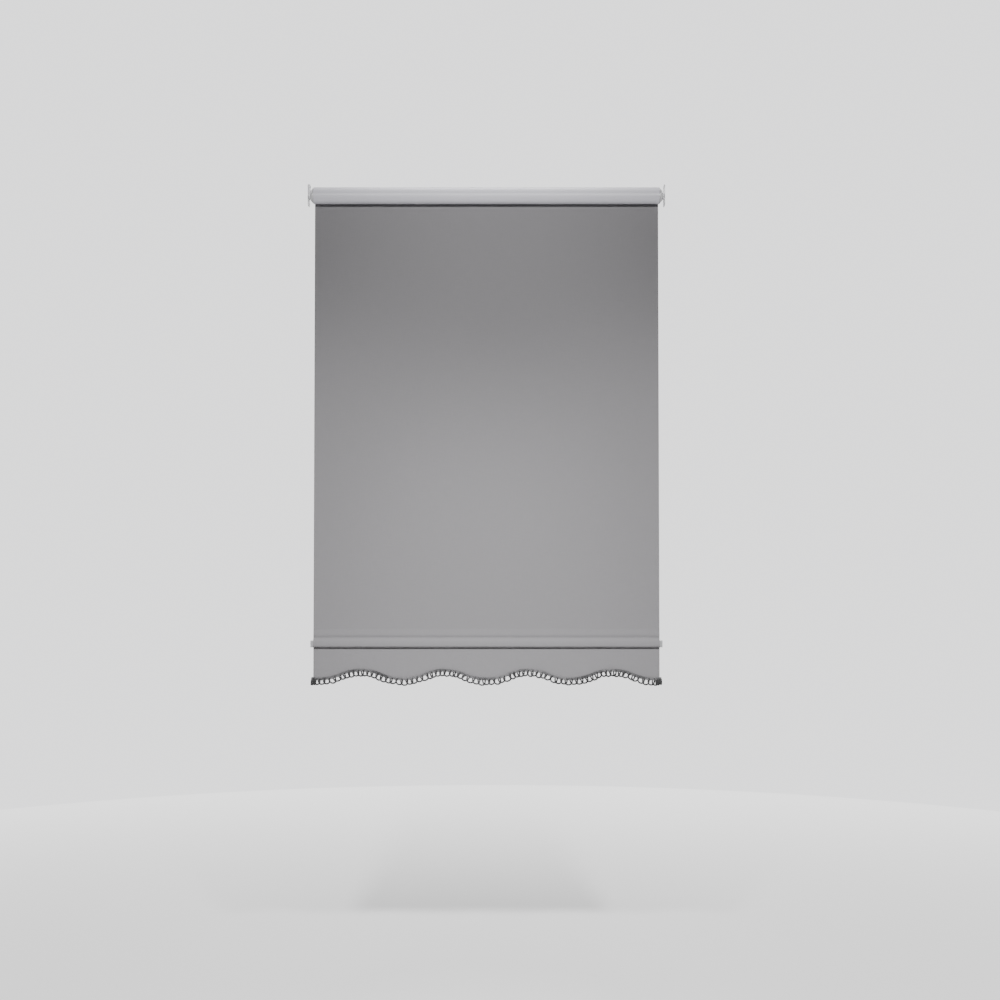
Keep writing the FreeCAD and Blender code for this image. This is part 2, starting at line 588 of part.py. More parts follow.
strip_outside = rod("strip_outside", CLOTH_BORE, f"-{CLOTH_WIDTH} / 2", CLOTH_WIDTH)
strip_inside = rod("strip_inside", TUBE_RADIUS, f"-{CLOTH_WIDTH} / 2", CLOTH_WIDTH)
strip_side = box(
    "strip_side",
    (f"-{CLOTH_WIDTH} / 2", "0", "-{strip_width} / 2"),
    (CLOTH_WIDTH, "{tube_diameter}", "{strip_width}"),
)
strip = doc.addObject("Part::Common", "strip")
strip.Base = cut("strip_ring", strip_outside, [strip_inside])
strip.Tool = strip_side
kept(strip, "adhesive_strip")

roll = rod("roll_outside", ROLL_RADIUS, f"-{CLOTH_WIDTH} / 2", CLOTH_WIDTH)
roll_bore = rod("roll_bore", CLOTH_BORE, f"-{CLOTH_WIDTH} / 2", CLOTH_WIDTH)
kept(cut("roll", roll, [roll_bore]), "cloth_roll")

RIGHT_TUBE_END = f"(-{TUBE_END})"
PLUG_SPIGOT_START = f"({RIGHT_TUBE_END} - {{end_plug_length}})"
GUDGEON_START = f"(-{COVER_FACE} - {{gudgeon_grip}})"
GUDGEON_END = f"(-{LEFT_JAMB} - {{jamb_clearance}})"
pin_cone = cone("pin_end_cone", FLANGE_RADIUS, "{face_radius}", RIGHT_TUBE_END, "{flange_length}")
pin_spigot = rod("pin_end_spigot", TUBE_BORE, PLUG_SPIGOT_START, "{end_plug_length}")
HOLLOW = (PLUG_SPIGOT_START, "{end_plug_length}")
hollow_outside = rod("pin_end_hollow_outside", f"{TUBE_BORE} - {{end_plug_wall}}", *HOLLOW)
hollow_inside = rod("pin_end_boss", "{gudgeon_radius} + {boss_wall}", *HOLLOW)
pin_hollow = cut("pin_end_hollow", hollow_outside, [hollow_inside])
gudgeon_hole = rod("gudgeon_hole", "{gudgeon_radius}", GUDGEON_START, "{gudgeon_grip}")
pin_blank = joined("pin_end_blank", [pin_cone, pin_spigot])
kept(cut("pin_end", pin_blank, [pin_hollow, gudgeon_hole]), "pin_end_plug")
kept(rod("gudgeon", "{gudgeon_radius}", GUDGEON_START, f"{GUDGEON_END} - {GUDGEON_START}"), "gudgeon_pin")

# The hanging cloth, the slat in its pocket and the two slat caps

HALF_CLOTH = f"({CLOTH_WIDTH} / 2)"
kept(
    box(
        "drop",
        (f"-{HALF_CLOTH}", DROP_FRONT, f"{POCKET_TOP} - {{seam_lap}}"),
        (CLOTH_WIDTH, "{cloth_thickness}", "{hem_drop} + {seam_lap}"),
    ),
    "cloth_drop",
)


def bar(label, turn, station, section, edge_radius, length):
    """A body with a rounded section, centred on the pocket, that starts at a station and runs inwards."""
    middle = {"y": f"{POCKET_FRONT} + {POCKET_DEPTH} / 2", "z": f"{POCKET_BOTTOM} + {POCKET_HEIGHT} / 2"}
    body = new_body(label, turn, x=station, **middle)
    half = f"{section[0]} / 2", f"{section[1]} / 2"
    outline = rectangle(body, label + "_section", "YZ_Plane", (f"-{half[0]}", f"-{half[1]}"), half)
    pad(body, outline, length)
    rounded(body, label + "_edges", runs_along_x, edge_radius)
    return body


POCKET_SECTION = (POCKET_DEPTH, POCKET_HEIGHT)
ROOM_SECTION = tuple(f"({across} - 2 * {{cloth_thickness}})" for across in POCKET_SECTION)
SLAT_SECTION = ("{slat_thickness}", "{slat_height}")
ROOM_CORNER = "{pocket_corner} - {cloth_thickness}"
SLAT_START = f"(-{HALF_CLOTH} + {{slat_cap_spigot}})"
AT_LEFT = (Rotation(), f"-{HALF_CLOTH}")
pocket_outside = bar("pocket_outside", *AT_LEFT, POCKET_SECTION, "{pocket_corner}", CLOTH_WIDTH)
pocket_room = bar("pocket_room", *AT_LEFT, ROOM_SECTION, ROOM_CORNER, CLOTH_WIDTH)
kept(cut("pocket_sleeve", pocket_outside, [pocket_room]), "hem_pocket")
kept(bar("slat", Rotation(), SLAT_START, SLAT_SECTION, "{slat_edge}", f"-2 * {SLAT_START}"), "hem_slat")

for side, turn, sign in (("left", Rotation(), "-"), ("right", HALF_TURN_ABOUT_Z, "")):
    label = f"{side}_slat_cap"
    cap = bar(label, turn, sign + HALF_CLOTH, SLAT_SECTION, "{slat_edge}", "{slat_cap_spigot}")
    corner = tuple(f"{across} / 2" for across in POCKET_SECTION)
    low_corner = tuple(f"-{across}" for across in corner)
    flange = rectangle(cap, label + "_flange", "YZ_Plane", low_corner, corner, "-{slat_cap_length}")
    pad(cap, flange, "{slat_cap_length}")
    rounded(cap, label + "_end", flange_edges, "{cap_edge}")
    kept(cap, label)

# The skirt and its trim follow one scalloped line: equal arcs, low at X = 0, that meet at half height

SCALLOP_MIDDLE = f"({POCKET_BOTTOM} - {{skirt_depth}})"


def above_scallops(drop, depth):
    """A plate of some depth, from its front at Y = 0, above the scalloped line lowered by drop."""
    half_pitch = size("{scallop_pitch} / 2")
    half_height = size("{scallop_height} / 2")
    level = size(SCALLOP_MIDDLE) - drop
    arcs_each_side = math.ceil(size(f"{HALF_CLOTH} + {{trim_overhang}}") / half_pitch - 0.5)
    edges = []
    for bend in range(-arcs_each_side, arcs_each_side + 1):
        middle = bend * half_pitch
        crest = level + (half_height if bend % 2 else -half_height)
        start = Vector(middle - half_pitch / 2, 0, level)
        end = Vector(middle + half_pitch / 2, 0, level)
        edges.append(Part.Arc(start, Vector(middle, 0, crest), end).toShape())
    left, right = edges[0].Vertexes[0].Point, edges[-1].Vertexes[-1].Point
    top = size(f"{POCKET_BOTTOM} + {{seam_lap}}")
    corners = [right, Vector(right.x, 0, top), Vector(left.x, 0, top), left]
    edges += [Part.LineSegment(a, b).toShape() for a, b in zip(corners, corners[1:])]
    return Part.Face(Part.Wire(edges)).extrude(Vector(0, depth, 0))


def between(solid, reach):
    """The stretch of a plate from X = -reach to X = reach."""
    bounds = solid.BoundBox
    corner = Vector(-reach, bounds.YMin, bounds.ZMin)
    return solid.common(Part.makeBox(2 * reach, bounds.YLength, bounds.ZLength, corner))


def formed(label, shape, place):
    """A sub-part whose shape is made above, put in its place."""
    thing = doc.addObject("Part::Feature", label)
    thing.Shape = shape
    thing.Placement = Placement(place, Rotation())
    return kept(thing, label)


skirt = above_scallops(size("{trim_header}"), size("{cloth_thickness}"))
formed("scalloped_skirt", between(skirt, size(HALF_CLOTH)), Vector(0, size(DROP_FRONT), 0))

trim_depth = size("{trim_thickness}")
trim = above_scallops(size("{trim_height}"), trim_depth).cut(above_scallops(0, trim_depth))
trim_reach = size(f"{HALF_CLOTH} + {{trim_overhang}}")
formed("loop_trim", between(trim, trim_reach), Vector(0, size(DROP_FRONT) - trim_depth, 0))

# Every object is checked before anything is written

doc.recompute()
for thing in doc.Objects:
    if {"Invalid", "Error"} & set(thing.State):
        raise RuntimeError(f"{thing.Name} is {thing.State}")
for thing in subparts:
    shape = thing.Shape
    if shape.isNull() or not shape.isValid() or len(shape.Solids) != 1:
        raise RuntimeError(f"{thing.Label} isn't one sound solid")

os.makedirs("parts", exist_ok=True)
for thing in subparts:
    thing.Shape.exportStep(f"parts/{thing.Label}.step")
    print(f"{thing.Label}: {thing.Shape.Volume / 1000:.3f} cm3")
print(f"{len(subparts)} sub-parts; the cloth is {size(CLOTH_WIDTH):.1f} mm wide")
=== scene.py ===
"""Looks of a cordless spring roller blind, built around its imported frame.

Lengths are in metres. +X points to the right jamb, -Y into the room and +Z up, with the origin on the
roller's axis. The wound and hanging cloth, the slat pocket, the skirt and its trim are modelled here, and
the brackets, roller ends and works keep the frame's own shapes and get their finishes here.
"""

import json
import logging
import math
import random
from dataclasses import dataclass, field
from enum import Enum
from typing import Any, ClassVar, Sequence

import bpy
import numpy as np
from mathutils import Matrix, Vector, noise


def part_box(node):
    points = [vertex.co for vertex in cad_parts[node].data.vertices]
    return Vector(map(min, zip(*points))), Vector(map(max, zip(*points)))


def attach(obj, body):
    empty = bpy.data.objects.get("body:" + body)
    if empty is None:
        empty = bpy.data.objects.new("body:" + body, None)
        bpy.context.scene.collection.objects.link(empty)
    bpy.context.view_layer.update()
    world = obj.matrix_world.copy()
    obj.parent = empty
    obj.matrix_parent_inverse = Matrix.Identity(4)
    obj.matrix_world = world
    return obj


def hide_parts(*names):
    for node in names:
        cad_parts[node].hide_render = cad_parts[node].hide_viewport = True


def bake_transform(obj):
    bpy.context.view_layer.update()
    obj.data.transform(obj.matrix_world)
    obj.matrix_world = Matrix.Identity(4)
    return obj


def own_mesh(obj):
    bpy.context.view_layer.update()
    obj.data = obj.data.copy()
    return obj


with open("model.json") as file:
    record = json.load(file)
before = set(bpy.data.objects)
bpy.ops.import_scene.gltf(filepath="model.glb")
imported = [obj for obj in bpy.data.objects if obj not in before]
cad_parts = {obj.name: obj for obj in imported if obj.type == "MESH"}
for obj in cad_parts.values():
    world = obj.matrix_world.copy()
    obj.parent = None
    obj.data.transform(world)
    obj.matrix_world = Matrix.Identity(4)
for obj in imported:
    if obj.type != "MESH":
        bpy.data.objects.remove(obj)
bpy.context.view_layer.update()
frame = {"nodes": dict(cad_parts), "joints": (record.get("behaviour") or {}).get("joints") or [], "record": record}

log = logging.getLogger("blind")

MM = 0.001
SEED = 7
SMOOTH_ANGLE = math.radians(38)
MEASURE = "Measure"
NOISE_LOW, NOISE_HIGH = 0.3, 0.7
NEARLY_NOTHING = 1e-9
PLY_OFFSET, PLY_RADIUS = 0.5, 0.56

Colour = tuple[float, float, float]
Place = tuple[float, float, float]
Value = Any
Feeds = dict[str, Value]


# Node trees ---------------------------------------------------------------------------------------------


class Graph:
    """Adds nodes to one node tree and joins their sockets."""

    def __init__(self, tree: bpy.types.NodeTree) -> None:
        """Takes the tree to add to."""
        self.tree = tree

    def node(self, kind: str, feeds: dict | None = None, **settings: Value) -> bpy.types.Node:
        """Adds one node.

        Args:
            kind: The node's type name.
            feeds: A socket or a constant for each input, by the input's name or number.
            settings: The node's own properties.

        Returns:
            The new node.
        """
        made = self.tree.nodes.new(kind)
        for name, value in settings.items():
            setattr(made, name, value)
        for name, value in (feeds or {}).items():
            self.feed(value, made.inputs[name])
        return made

    def feed(self, value: Value, socket: bpy.types.NodeSocket) -> None:
        """Links a socket to an input, or sets the input's own value."""
        if isinstance(value, bpy.types.NodeSocket):
            self.tree.links.new(value, socket)
        else:
            socket.default_value = value

    def sum(self, operation: str, *values: Value, clamp: bool = False) -> Value:
        """The outcome of one Math node, such as ADD or SINE."""
        made = self.node("ShaderNodeMath", dict(enumerate(values)), operation=operation, use_clamp=clamp)
        return made.outputs[0]

    def spread(self, value: Value, low: float, high: float, start: float = 0.0, end: float = 1.0) -> Value:
        """Maps a value from start..end to low..high, and holds it there."""
        feeds = {"Value": value, "From Min": start, "From Max": end, "To Min": low, "To Max": high}
        return self.node("ShaderNodeMapRange", feeds).outputs["Result"]

    def full(self, value: Value) -> Value:
        """Spreads the middle range that noise keeps to over 0 to 1."""
        return self.spread(value, 0.0, 1.0, NOISE_LOW, NOISE_HIGH)

    def mix(self, share: Value, first: Value, second: Value) -> Value:
        """Mixes two colours.

        Args:
            share: How much of the second colour shows, from 0 to 1.
            first: A colour or a colour socket.
            second: A colour or a colour socket.

        Returns:
            The mixed colour's socket.
        """
        feeds = {0: share, 6: opaque(first), 7: opaque(second)}
        return self.node("ShaderNodeMix", feeds, data_type="RGBA").outputs[2]

    def noise(self, place: Value, scale: Value, detail: float = 2.0) -> Value:
        """Smooth noise from 0 to 1 at a place."""
        feeds = {"Vector": place, "Scale": scale, "Detail": detail, "Roughness": 0.5}
        return self.node("ShaderNodeTexNoise", feeds).outputs[0]

    def stretch(self, place: Value, by: Place) -> Value:
        """Multiplies a place's three coordinates."""
        return self.node("ShaderNodeVectorMath", {0: place, 1: by}, operation="MULTIPLY").outputs[0]

    def parts(self, place: Value) -> Sequence[Value]:
        """The three coordinates of a place."""
        return self.node("ShaderNodeSeparateXYZ", {0: place}).outputs

    def joined(self, *parts: Value) -> Value:
        """A place with the given coordinates."""
        return self.node("ShaderNodeCombineXYZ", dict(enumerate(parts))).outputs[0]

    def normal(self) -> Value:
        """The surface's own normal."""
        return self.node("ShaderNodeNewGeometry").outputs["Normal"]

    def object_place(self) -> Value:
        """A point's place in the blind's own frame, in metres."""
        return self.node("ShaderNodeTexCoord").outputs["Object"]

    def measure(self) -> Value:
        """A point's place along and across its own cloth or yarn, in metres."""
        return self.node("ShaderNodeUVMap", uv_map=MEASURE).outputs[0]


def opaque(colour: Value) -> Value:
    """A colour with an alpha of 1, where it is one and not a socket."""
    return (*colour, 1.0) if isinstance(colour, tuple) and len(colour) == 3 else colour


class Effect:
    """A shader node group that is made once and placed in several materials.

    An inlet without a value of its own is a vector, and every other one is a number.
    """

    title: ClassVar[str]
    inlets: ClassVar[dict[str, float | None]]
    outlets: ClassVar[tuple[str, ...]]

    @classmethod
    def draw(cls, graph: Graph, given: Feeds) -> Feeds:
        """Draws the group's nodes.

        Args:
            graph: The group's own graph.
            given: The group's inputs by name.

        Returns:
            What each output is fed with, by name.
        """
        raise NotImplementedError

    @classmethod
    def tree(cls) -> bpy.types.NodeTree:
        """The node group, made when it is first asked for."""
        made = bpy.data.node_groups.get(cls.title)
        if made:
            return made
        made = bpy.data.node_groups.new(cls.title, "ShaderNodeTree")
        for name, value in cls.inlets.items():
            kind = "NodeSocketVector" if value is None else "NodeSocketFloat"
            socket = made.interface.new_socket(name=name, in_out="INPUT", socket_type=kind)
            if value is not None:
                socket.default_value = value
        for name in cls.outlets:
            made.interface.new_socket(name=name, in_out="OUTPUT", socket_type="NodeSocketFloat")
        graph = Graph(made)
        inside = graph.node("NodeGroupInput")
        graph.node("NodeGroupOutput", cls.draw(graph, {name: inside.outputs[name] for name in cls.inlets}))
        return made

    @classmethod
    def place(cls, graph: Graph, **values: Value) -> Sequence[Value]:
        """Places the group in a material.

        Args:
            graph: The material's graph.
            values: The group's inputs.

        Returns:
            The group's outputs.
        """
        return graph.node("ShaderNodeGroup", values, node_tree=cls.tree()).outputs


class Weave(Effect):
    """Plain weave: rounded threads that pass over and under, each with a tone of its own."""

    title = "Plain weave"
    inlets = {"Measure": None, "Pitch": 0.6 * MM, "Slub length": 30 * MM}
    outlets = ("Height", "Tone")
    sunk: ClassVar[float] = 0.45

    @classmethod
    def draw(cls, graph: Graph, given: Feeds) -> Feeds:
        """Draws warp and weft as two rows of half waves, and slubs as noise along each thread."""
        across, along, _ = graph.parts(given["Measure"])
        threads = [graph.sum("DIVIDE", side, given["Pitch"]) for side in (across, along)]
        waves = [graph.sum("SINE", graph.sum("MULTIPLY", t, math.pi)) for t in threads]
        crowns = [graph.sum("ABSOLUTE", wave) for wave in waves]
        cells = [graph.sum("FLOOR", t) for t in threads]
        turn = graph.sum("PINGPONG", graph.sum("ADD", *cells), 1.0)
        over = (turn, graph.sum("SUBTRACT", 1.0, turn))
        heights = [graph.sum("MULTIPLY", c, graph.spread(o, cls.sunk, 1.0)) for c, o in zip(crowns, over)]
        slubs = []
        for cell, side in zip(cells, (along, across)):
            place = graph.joined(graph.sum("DIVIDE", side, given["Slub length"]), cell)
            slubs.append(graph.noise(place, 1.0, detail=1.0))
        tone = graph.sum("MULTIPLY", graph.sum("ADD", *slubs), 0.5)
        return {"Height": graph.sum("MAXIMUM", *heights), "Tone": tone}


class Mottle(Effect):
    """Uneven tone at two scales, from 0 to 1."""

    title = "Mottle"
    inlets = {"Place": None, "Scale": 6.0}
    outlets = ("Tone", "Fine")
    finer: ClassVar[float] = 11.0

    @classmethod
    def draw(cls, graph: Graph, given: Feeds) -> Feeds:
        """Draws a broad noise and a much finer one."""
        broad = graph.noise(given["Place"], given["Scale"], detail=3.0)
        fine = graph.noise(given["Place"], graph.sum("MULTIPLY", given["Scale"], cls.finer), detail=4.0)
        return {"Tone": graph.full(broad), "Fine": graph.full(fine)}


class EdgeWear(Effect):
    """A mask of rubbed outer edges, broken up by noise."""

    title = "Edge wear"
    inlets = {"Place": None, "Width": 0.6 * MM, "Grain": 350.0}
    outlets = ("Mask",)

    @classmethod
    def draw(cls, graph: Graph, given: Feeds) -> Feeds:
        """Compares the true normal with one rounded over the width."""
        rounded = graph.node("ShaderNodeBevel", {"Radius": given["Width"]}, samples=4).outputs[0]
        both = {0: rounded, 1: graph.normal()}
        same = graph.node("ShaderNodeVectorMath", both, operation="DOT_PRODUCT").outputs["Value"]
        edge = graph.spread(same, 1.0, 0.0, 0.80, 0.985)
        speckle = graph.spread(graph.noise(given["Place"], given["Grain"], detail=4.0), 0.0, 1.0, 0.42, 0.62)
        return {"Mask": graph.sum("MULTIPLY", edge, speckle, clamp=True)}


class Dust(Effect):
    """A mask of fine dust on what faces up."""

    title = "Dust"
    inlets = {"Place": None, "Grain": 120.0}
    outlets = ("Mask",)

    @classmethod
    def draw(cls, graph: Graph, given: Feeds) -> Feeds:
        """Draws the mask from the normal's height and noise."""
        settled = graph.spread(graph.parts(graph.normal())[2], 0.0, 1.0, 0.35, 0.95)
        cloud = graph.spread(graph.noise(given["Place"], given["Grain"], detail=5.0), 0.2, 1.0, 0.35, 0.65)
        return {"Mask": graph.sum("MULTIPLY", settled, cloud)}


class Streaks(Effect):
    """Fine lines drawn out along X, as on rolled, turned or drawn metal, or planed wood."""

    title = "Streaks"
    inlets = {"Place": None, "Fineness": 900.0, "Length": 0.02}
    outlets = ("Height", "Tone")
    broader: ClassVar[float] = 0.12

    @classmethod
    def draw(cls, graph: Graph, given: Feeds) -> Feeds:
        """Draws noise that is stretched along X."""
        along, across, up = graph.parts(given["Place"])
        place = graph.joined(graph.sum("MULTIPLY", along, given["Length"]), across, up)
        fine = graph.noise(place, given["Fineness"], detail=3.0)
        broad = graph.noise(place, graph.sum("MULTIPLY", given["Fineness"], cls.broader))
        return {"Height": fine, "Tone": graph.full(broad)}


class Twist(Effect):
    """Fibres that wind round a yarn, on a measure that runs along it and round it."""

    title = "Twisted fibres"
    inlets = {"Measure": None, "Lay": 1.6 * MM}
    outlets = ("Height", "Tone")
    slope: ClassVar[float] = 1.4

    @classmethod
    def draw(cls, graph: Graph, given: Feeds) -> Feeds:
        """Draws slanting ridges and a tone that varies from fibre to fibre."""
        along, around, _ = graph.parts(given["Measure"])
        wound = graph.sum("ADD", along, graph.sum("MULTIPLY", around, cls.slope))
        slant = graph.sum("DIVIDE", wound, given["Lay"])
        ridge = graph.sum("ABSOLUTE", graph.sum("SINE", graph.sum("MULTIPLY", slant, 4 * math.pi)))
        place = graph.joined(slant, graph.sum("MULTIPLY", along, 60.0))
        return {"Height": ridge, "Tone": graph.noise(place, 1.4, detail=3.0)}


# Finishes -----------------------------------------------------------------------------------------------


@dataclass(frozen=True)
class Finish:
    """A surface with a colour, a gloss and a relief of its own."""

    name: str
    colour: Colour
    roughness: float

    def material(self) -> bpy.types.Material:
        """The material, made when it is first asked for."""
        made = bpy.data.materials.get(self.name)
        if made:
            return made
        made = bpy.data.materials.new(self.name)
        made.use_nodes = True
        made.node_tree.nodes.clear()
        made.diffuse_color = (*self.colour, 1.0)
        graph = Graph(made.node_tree)
        shader = graph.node("ShaderNodeBsdfPrincipled", self.paint(graph))
        graph.node("ShaderNodeOutputMaterial", {"Surface": shader.outputs[0]})
        return made

    def paint(self, graph: Graph) -> Feeds:
        """Draws the finish, and returns what each of the shader's inputs gets."""
        raise NotImplementedError

    def shade(self, by: float) -> Colour:
        """The finish's colour, made darker or lighter."""
        return tuple(min(1.0, c * by) for c in self.colour)

    def gloss(self, graph: Graph, mask: Value, less: float, more: float) -> Value:
        """A roughness that varies about the finish's own by a mask."""
        return graph.spread(mask, self.roughness - less, self.roughness + more)

    @staticmethod
    def relief(graph: Graph, height: Value, depth: float) -> Value:
        """The normal for a height map of a given depth in metres."""
        return graph.node("ShaderNodeBump", {"Height": height, "Distance": depth}).outputs[0]

    @staticmethod
    def dusted(graph: Graph, place: Value, share: float, under: Value, dust: Colour) -> Value:
        """A colour with some dust on what faces up."""
        return graph.mix(graph.spread(Dust.place(graph, Place=place)[0], 0.0, share), under, dust)


@dataclass(frozen=True)
class BlindCloth(Finish):
    """One side of the coated plain-weave cloth."""

    pitch: float = 0.6 * MM
    depth: float = 0.07 * MM
    contrast: float = 0.05
    sheen: float = 0.12
    specular: float = 0.25
    # how dark the painted shade in the weave's hollows is, as a share of the cloth's colour
    pit_shade: float = 0.55

    def paint(self, graph: Graph) -> Feeds:
        """Paints threads of slightly different tones over a faint mottle, with painted shade darkening the hollows
        of the weave.
        """
        measure = graph.measure()
        height, tone = Weave.place(graph, Measure=measure, Pitch=self.pitch)
        broad, fine = Mottle.place(graph, Place=measure, Scale=3.0)
        threads = graph.mix(graph.full(tone), self.shade(1 - self.contrast), self.shade(1 + self.contrast))
        clouded = graph.mix(graph.spread(broad, 0.0, 0.45), threads, self.shade(1 - 0.6 * self.contrast))
        # painted shade: the weave's low points take part of a darker copy of the colour, standing in for shade in
        # the hollows
        pit_shade_share = graph.spread(height, 0.32, 0.0, 0.0, 0.55)
        return {
            "Base Color": graph.mix(pit_shade_share, clouded, self.shade(self.pit_shade)),
            "Roughness": self.gloss(graph, fine, 0.06, 0.05),
            "Sheen Weight": self.sheen,
            "Sheen Roughness": 0.45,
            "Specular IOR Level": self.specular,
            "Normal": self.relief(graph, height, self.depth),
        }


@dataclass(frozen=True)
class Yarn(Finish):
    """Twisted yarn or thread, whose tone varies along the piece."""

    light: Colour = (0.3, 0.3, 0.3)
    lay: float = 1.6 * MM
    depth: float = 0.12 * MM
    patch: float = 55.0

    def paint(self, graph: Graph) -> Feeds:
        """Paints fibres between a dark and a light tone, patch by patch."""
        height, fibre = Twist.place(graph, Measure=graph.measure(), Lay=self.lay)
        broad, _ = Mottle.place(graph, Place=graph.object_place(), Scale=self.patch)
        dyed = graph.mix(graph.spread(broad, 0.0, 1.0, 0.15, 0.85), self.colour, self.light)
        return {
            "Base Color": graph.mix(graph.spread(fibre, 0.55, 0.0, 0.35, 0.65), dyed, self.shade(0.5)),
            "Roughness": self.gloss(graph, fibre, 0.0, -0.15),
            "Sheen Weight": 0.35,
            "Sheen Roughness": 0.5,
            "Normal": self.relief(graph, height, self.depth),
        }


@dataclass(frozen=True)
class PaintedSteel(Finish):
    """Powder coat on pressed steel, rubbed to the metal along its edges."""

    bare: Colour = (0.42, 0.42, 0.43)
    dust: Colour = (0.55, 0.53, 0.50)
    peel: float = 1400.0

    def paint(self, graph: Graph) -> Feeds:
        """Paints the coat, its orange peel, its worn edges and a little dust."""
        place = graph.object_place()
        worn = EdgeWear.place(graph, Place=place, Width=0.45 * MM)[0]
        broad, fine = Mottle.place(graph, Place=place, Scale=45.0)
        coat = graph.mix(graph.spread(broad, 0.0, 0.5), self.colour, self.shade(0.86))
        dusty = self.dusted(graph, place, 0.35, coat, self.dust)
        peeled = graph.sum("SUBTRACT", graph.noise(place, self.peel, detail=1.0), worn)
        return {
            "Base Color": graph.mix(worn, dusty, self.bare),
            "Metallic": worn,
            "Roughness": self.gloss(graph, fine, 0.05, 0.10),
            "Coat Weight": 0.15,
            "Coat Roughness": 0.25,
            "Normal": self.relief(graph, peeled, 0.02 * MM),
        }


@dataclass(frozen=True)
class BareSteel(Finish):
    """Plated, galvanised or oiled steel with drawing or turning lines."""

    fineness: float = 1200.0
    length: float = 0.03
    tint: Colour = (0.5, 0.48, 0.42)

    def paint(self, graph: Graph) -> Feeds:
        """Paints the metal's streaks, a broad tint and brighter edges."""
        place = graph.object_place()
        height, tone = Streaks.place(graph, Place=place, Fineness=self.fineness, Length=self.length)
        broad, fine = Mottle.place(graph, Place=place, Scale=60.0)
        worn = EdgeWear.place(graph, Place=place, Width=0.3 * MM)[0]
        streaked = graph.mix(graph.spread(tone, 0.0, 0.6), self.colour, self.shade(0.78))
        tinted = graph.mix(graph.spread(broad, 0.0, 0.3), streaked, self.tint)
        return {
            "Base Color": graph.mix(worn, tinted, self.shade(1.25)),
            "Metallic": 1.0,
            "Roughness": self.gloss(graph, fine, 0.08, 0.10),
            "Normal": self.relief(graph, height, 0.012 * MM),
        }


@dataclass(frozen=True)
class Moulded(Finish):
    """Moulded plastic with a fine spark-eroded grain."""

    grain: float = 2200.0
    scattering: float = 0.08
    dust: Colour = (0.52, 0.50, 0.47)

    def paint(self, graph: Graph) -> Feeds:
        """Paints faint flow marks, rubbed edges, dust and the mould's grain."""
        place = graph.object_place()
        broad, fine = Mottle.place(graph, Place=place, Scale=40.0)
        worn = EdgeWear.place(graph, Place=place, Width=0.5 * MM)[0]
        flow = graph.mix(graph.spread(broad, 0.0, 0.6), self.colour, self.shade(0.9))
        rubbed = graph.mix(graph.spread(worn, 0.0, 0.35), flow, self.shade(1.15))
        return {
            "Base Color": self.dusted(graph, place, 0.3, rubbed, self.dust),
            "Roughness": self.gloss(graph, fine, 0.06, 0.08),
            "Subsurface Weight": self.scattering,
            "Subsurface Radius": (1.2 * MM, 1.2 * MM, 1.2 * MM),
            "Normal": self.relief(graph, graph.noise(place, self.grain, detail=1.0), 0.02 * MM),
        }


@dataclass(frozen=True)
class PlanedWood(Finish):
    """Planed softwood, with its grain along X."""

    late: Colour = (0.42, 0.28, 0.15)
    drawn_out: Place = (0.03, 1.0, 1.0)

    def paint(self, graph: Graph) -> Feeds:
        """Paints rings as distorted bands, with fine pores along them."""
        place = graph.object_place()
        height, tone = Streaks.place(graph, Place=place, Fineness=1100.0, Length=0.02)
        grown = {"Vector": graph.stretch(place, self.drawn_out), "Scale": 90.0, "Distortion": 3.5}
        rings = graph.node("ShaderNodeTexWave", {**grown, "Detail": 3.0}, bands_direction="Z").outputs[1]
        ringed = graph.mix(graph.spread(rings, 0.0, 0.75, 0.35, 0.95), self.colour, self.late)
        return {
            "Base Color": graph.mix(graph.spread(tone, 0.0, 0.3), ringed, self.late),
            "Roughness": self.gloss(graph, height, 0.1, 0.1),
            "Normal": self.relief(graph, height, 0.05 * MM),
        }


FACE = BlindCloth("grey_cloth_face", (0.256, 0.250, 0.259), 0.88)
BACK = BlindCloth(
    name="pale_coated_back",
    colour=(0.785, 0.775, 0.835),
    roughness=0.40,
    depth=0.02 * MM,
    contrast=0.025,
    sheen=0.02,
    specular=0.5,
)
BRAID = Yarn("grey_braid", (0.085, 0.083, 0.088), 0.85, light=(0.27, 0.265, 0.275), patch=26.0)
LOOPS = Yarn("charcoal_loops", (0.007, 0.007, 0.008), 0.85, light=(0.055, 0.054, 0.057), patch=22.0)
THREAD = Yarn(
    "grey_sewing_thread", (0.20, 0.20, 0.205), 0.7, light=(0.30, 0.30, 0.305), lay=0.5 * MM, depth=0.03 * MM
)

SLOT_FINISHES: dict[str, Finish] = {
    "bracket_coat": PaintedSteel("white_powder_coat", (0.84, 0.84, 0.86), 0.40),
    "works_steel": BareSteel("zinc_plated_steel", (0.62, 0.62, 0.64), 0.34),
    "spring_steel": BareSteel("oiled_spring_steel", (0.20, 0.20, 0.21), 0.38, tint=(0.22, 0.17, 0.11)),
    "tube_steel": BareSteel("galvanised_tube", (0.66, 0.67, 0.69), 0.40, fineness=260.0, length=0.4),
    "end_plastic": Moulded("white_end_plastic", (0.88, 0.88, 0.89), 0.34),
    "inner_plastic": Moulded("natural_nylon", (0.60, 0.60, 0.57), 0.46),
    "cap_plastic": Moulded("grey_cap_plastic", (0.40, 0.40, 0.41), 0.45),
    "adhesive": Moulded("adhesive_film", (0.66, 0.62, 0.50), 0.30, grain=500.0),
    "slat_wood": PlanedWood("planed_softwood", (0.66, 0.49, 0.30), 0.62),
}


# Meshes -------------------------------------------------------------------------------------------------


class Side(Enum):
    """The two ends of the blind, by the sign of X."""

    LEFT = -1
    RIGHT = 1


def lengths_along(path: np.ndarray) -> np.ndarray:
    """The distance along a path to each of its points."""
    return np.concatenate(([0.0], np.cumsum(np.linalg.norm(np.diff(path, axis=0), axis=1))))


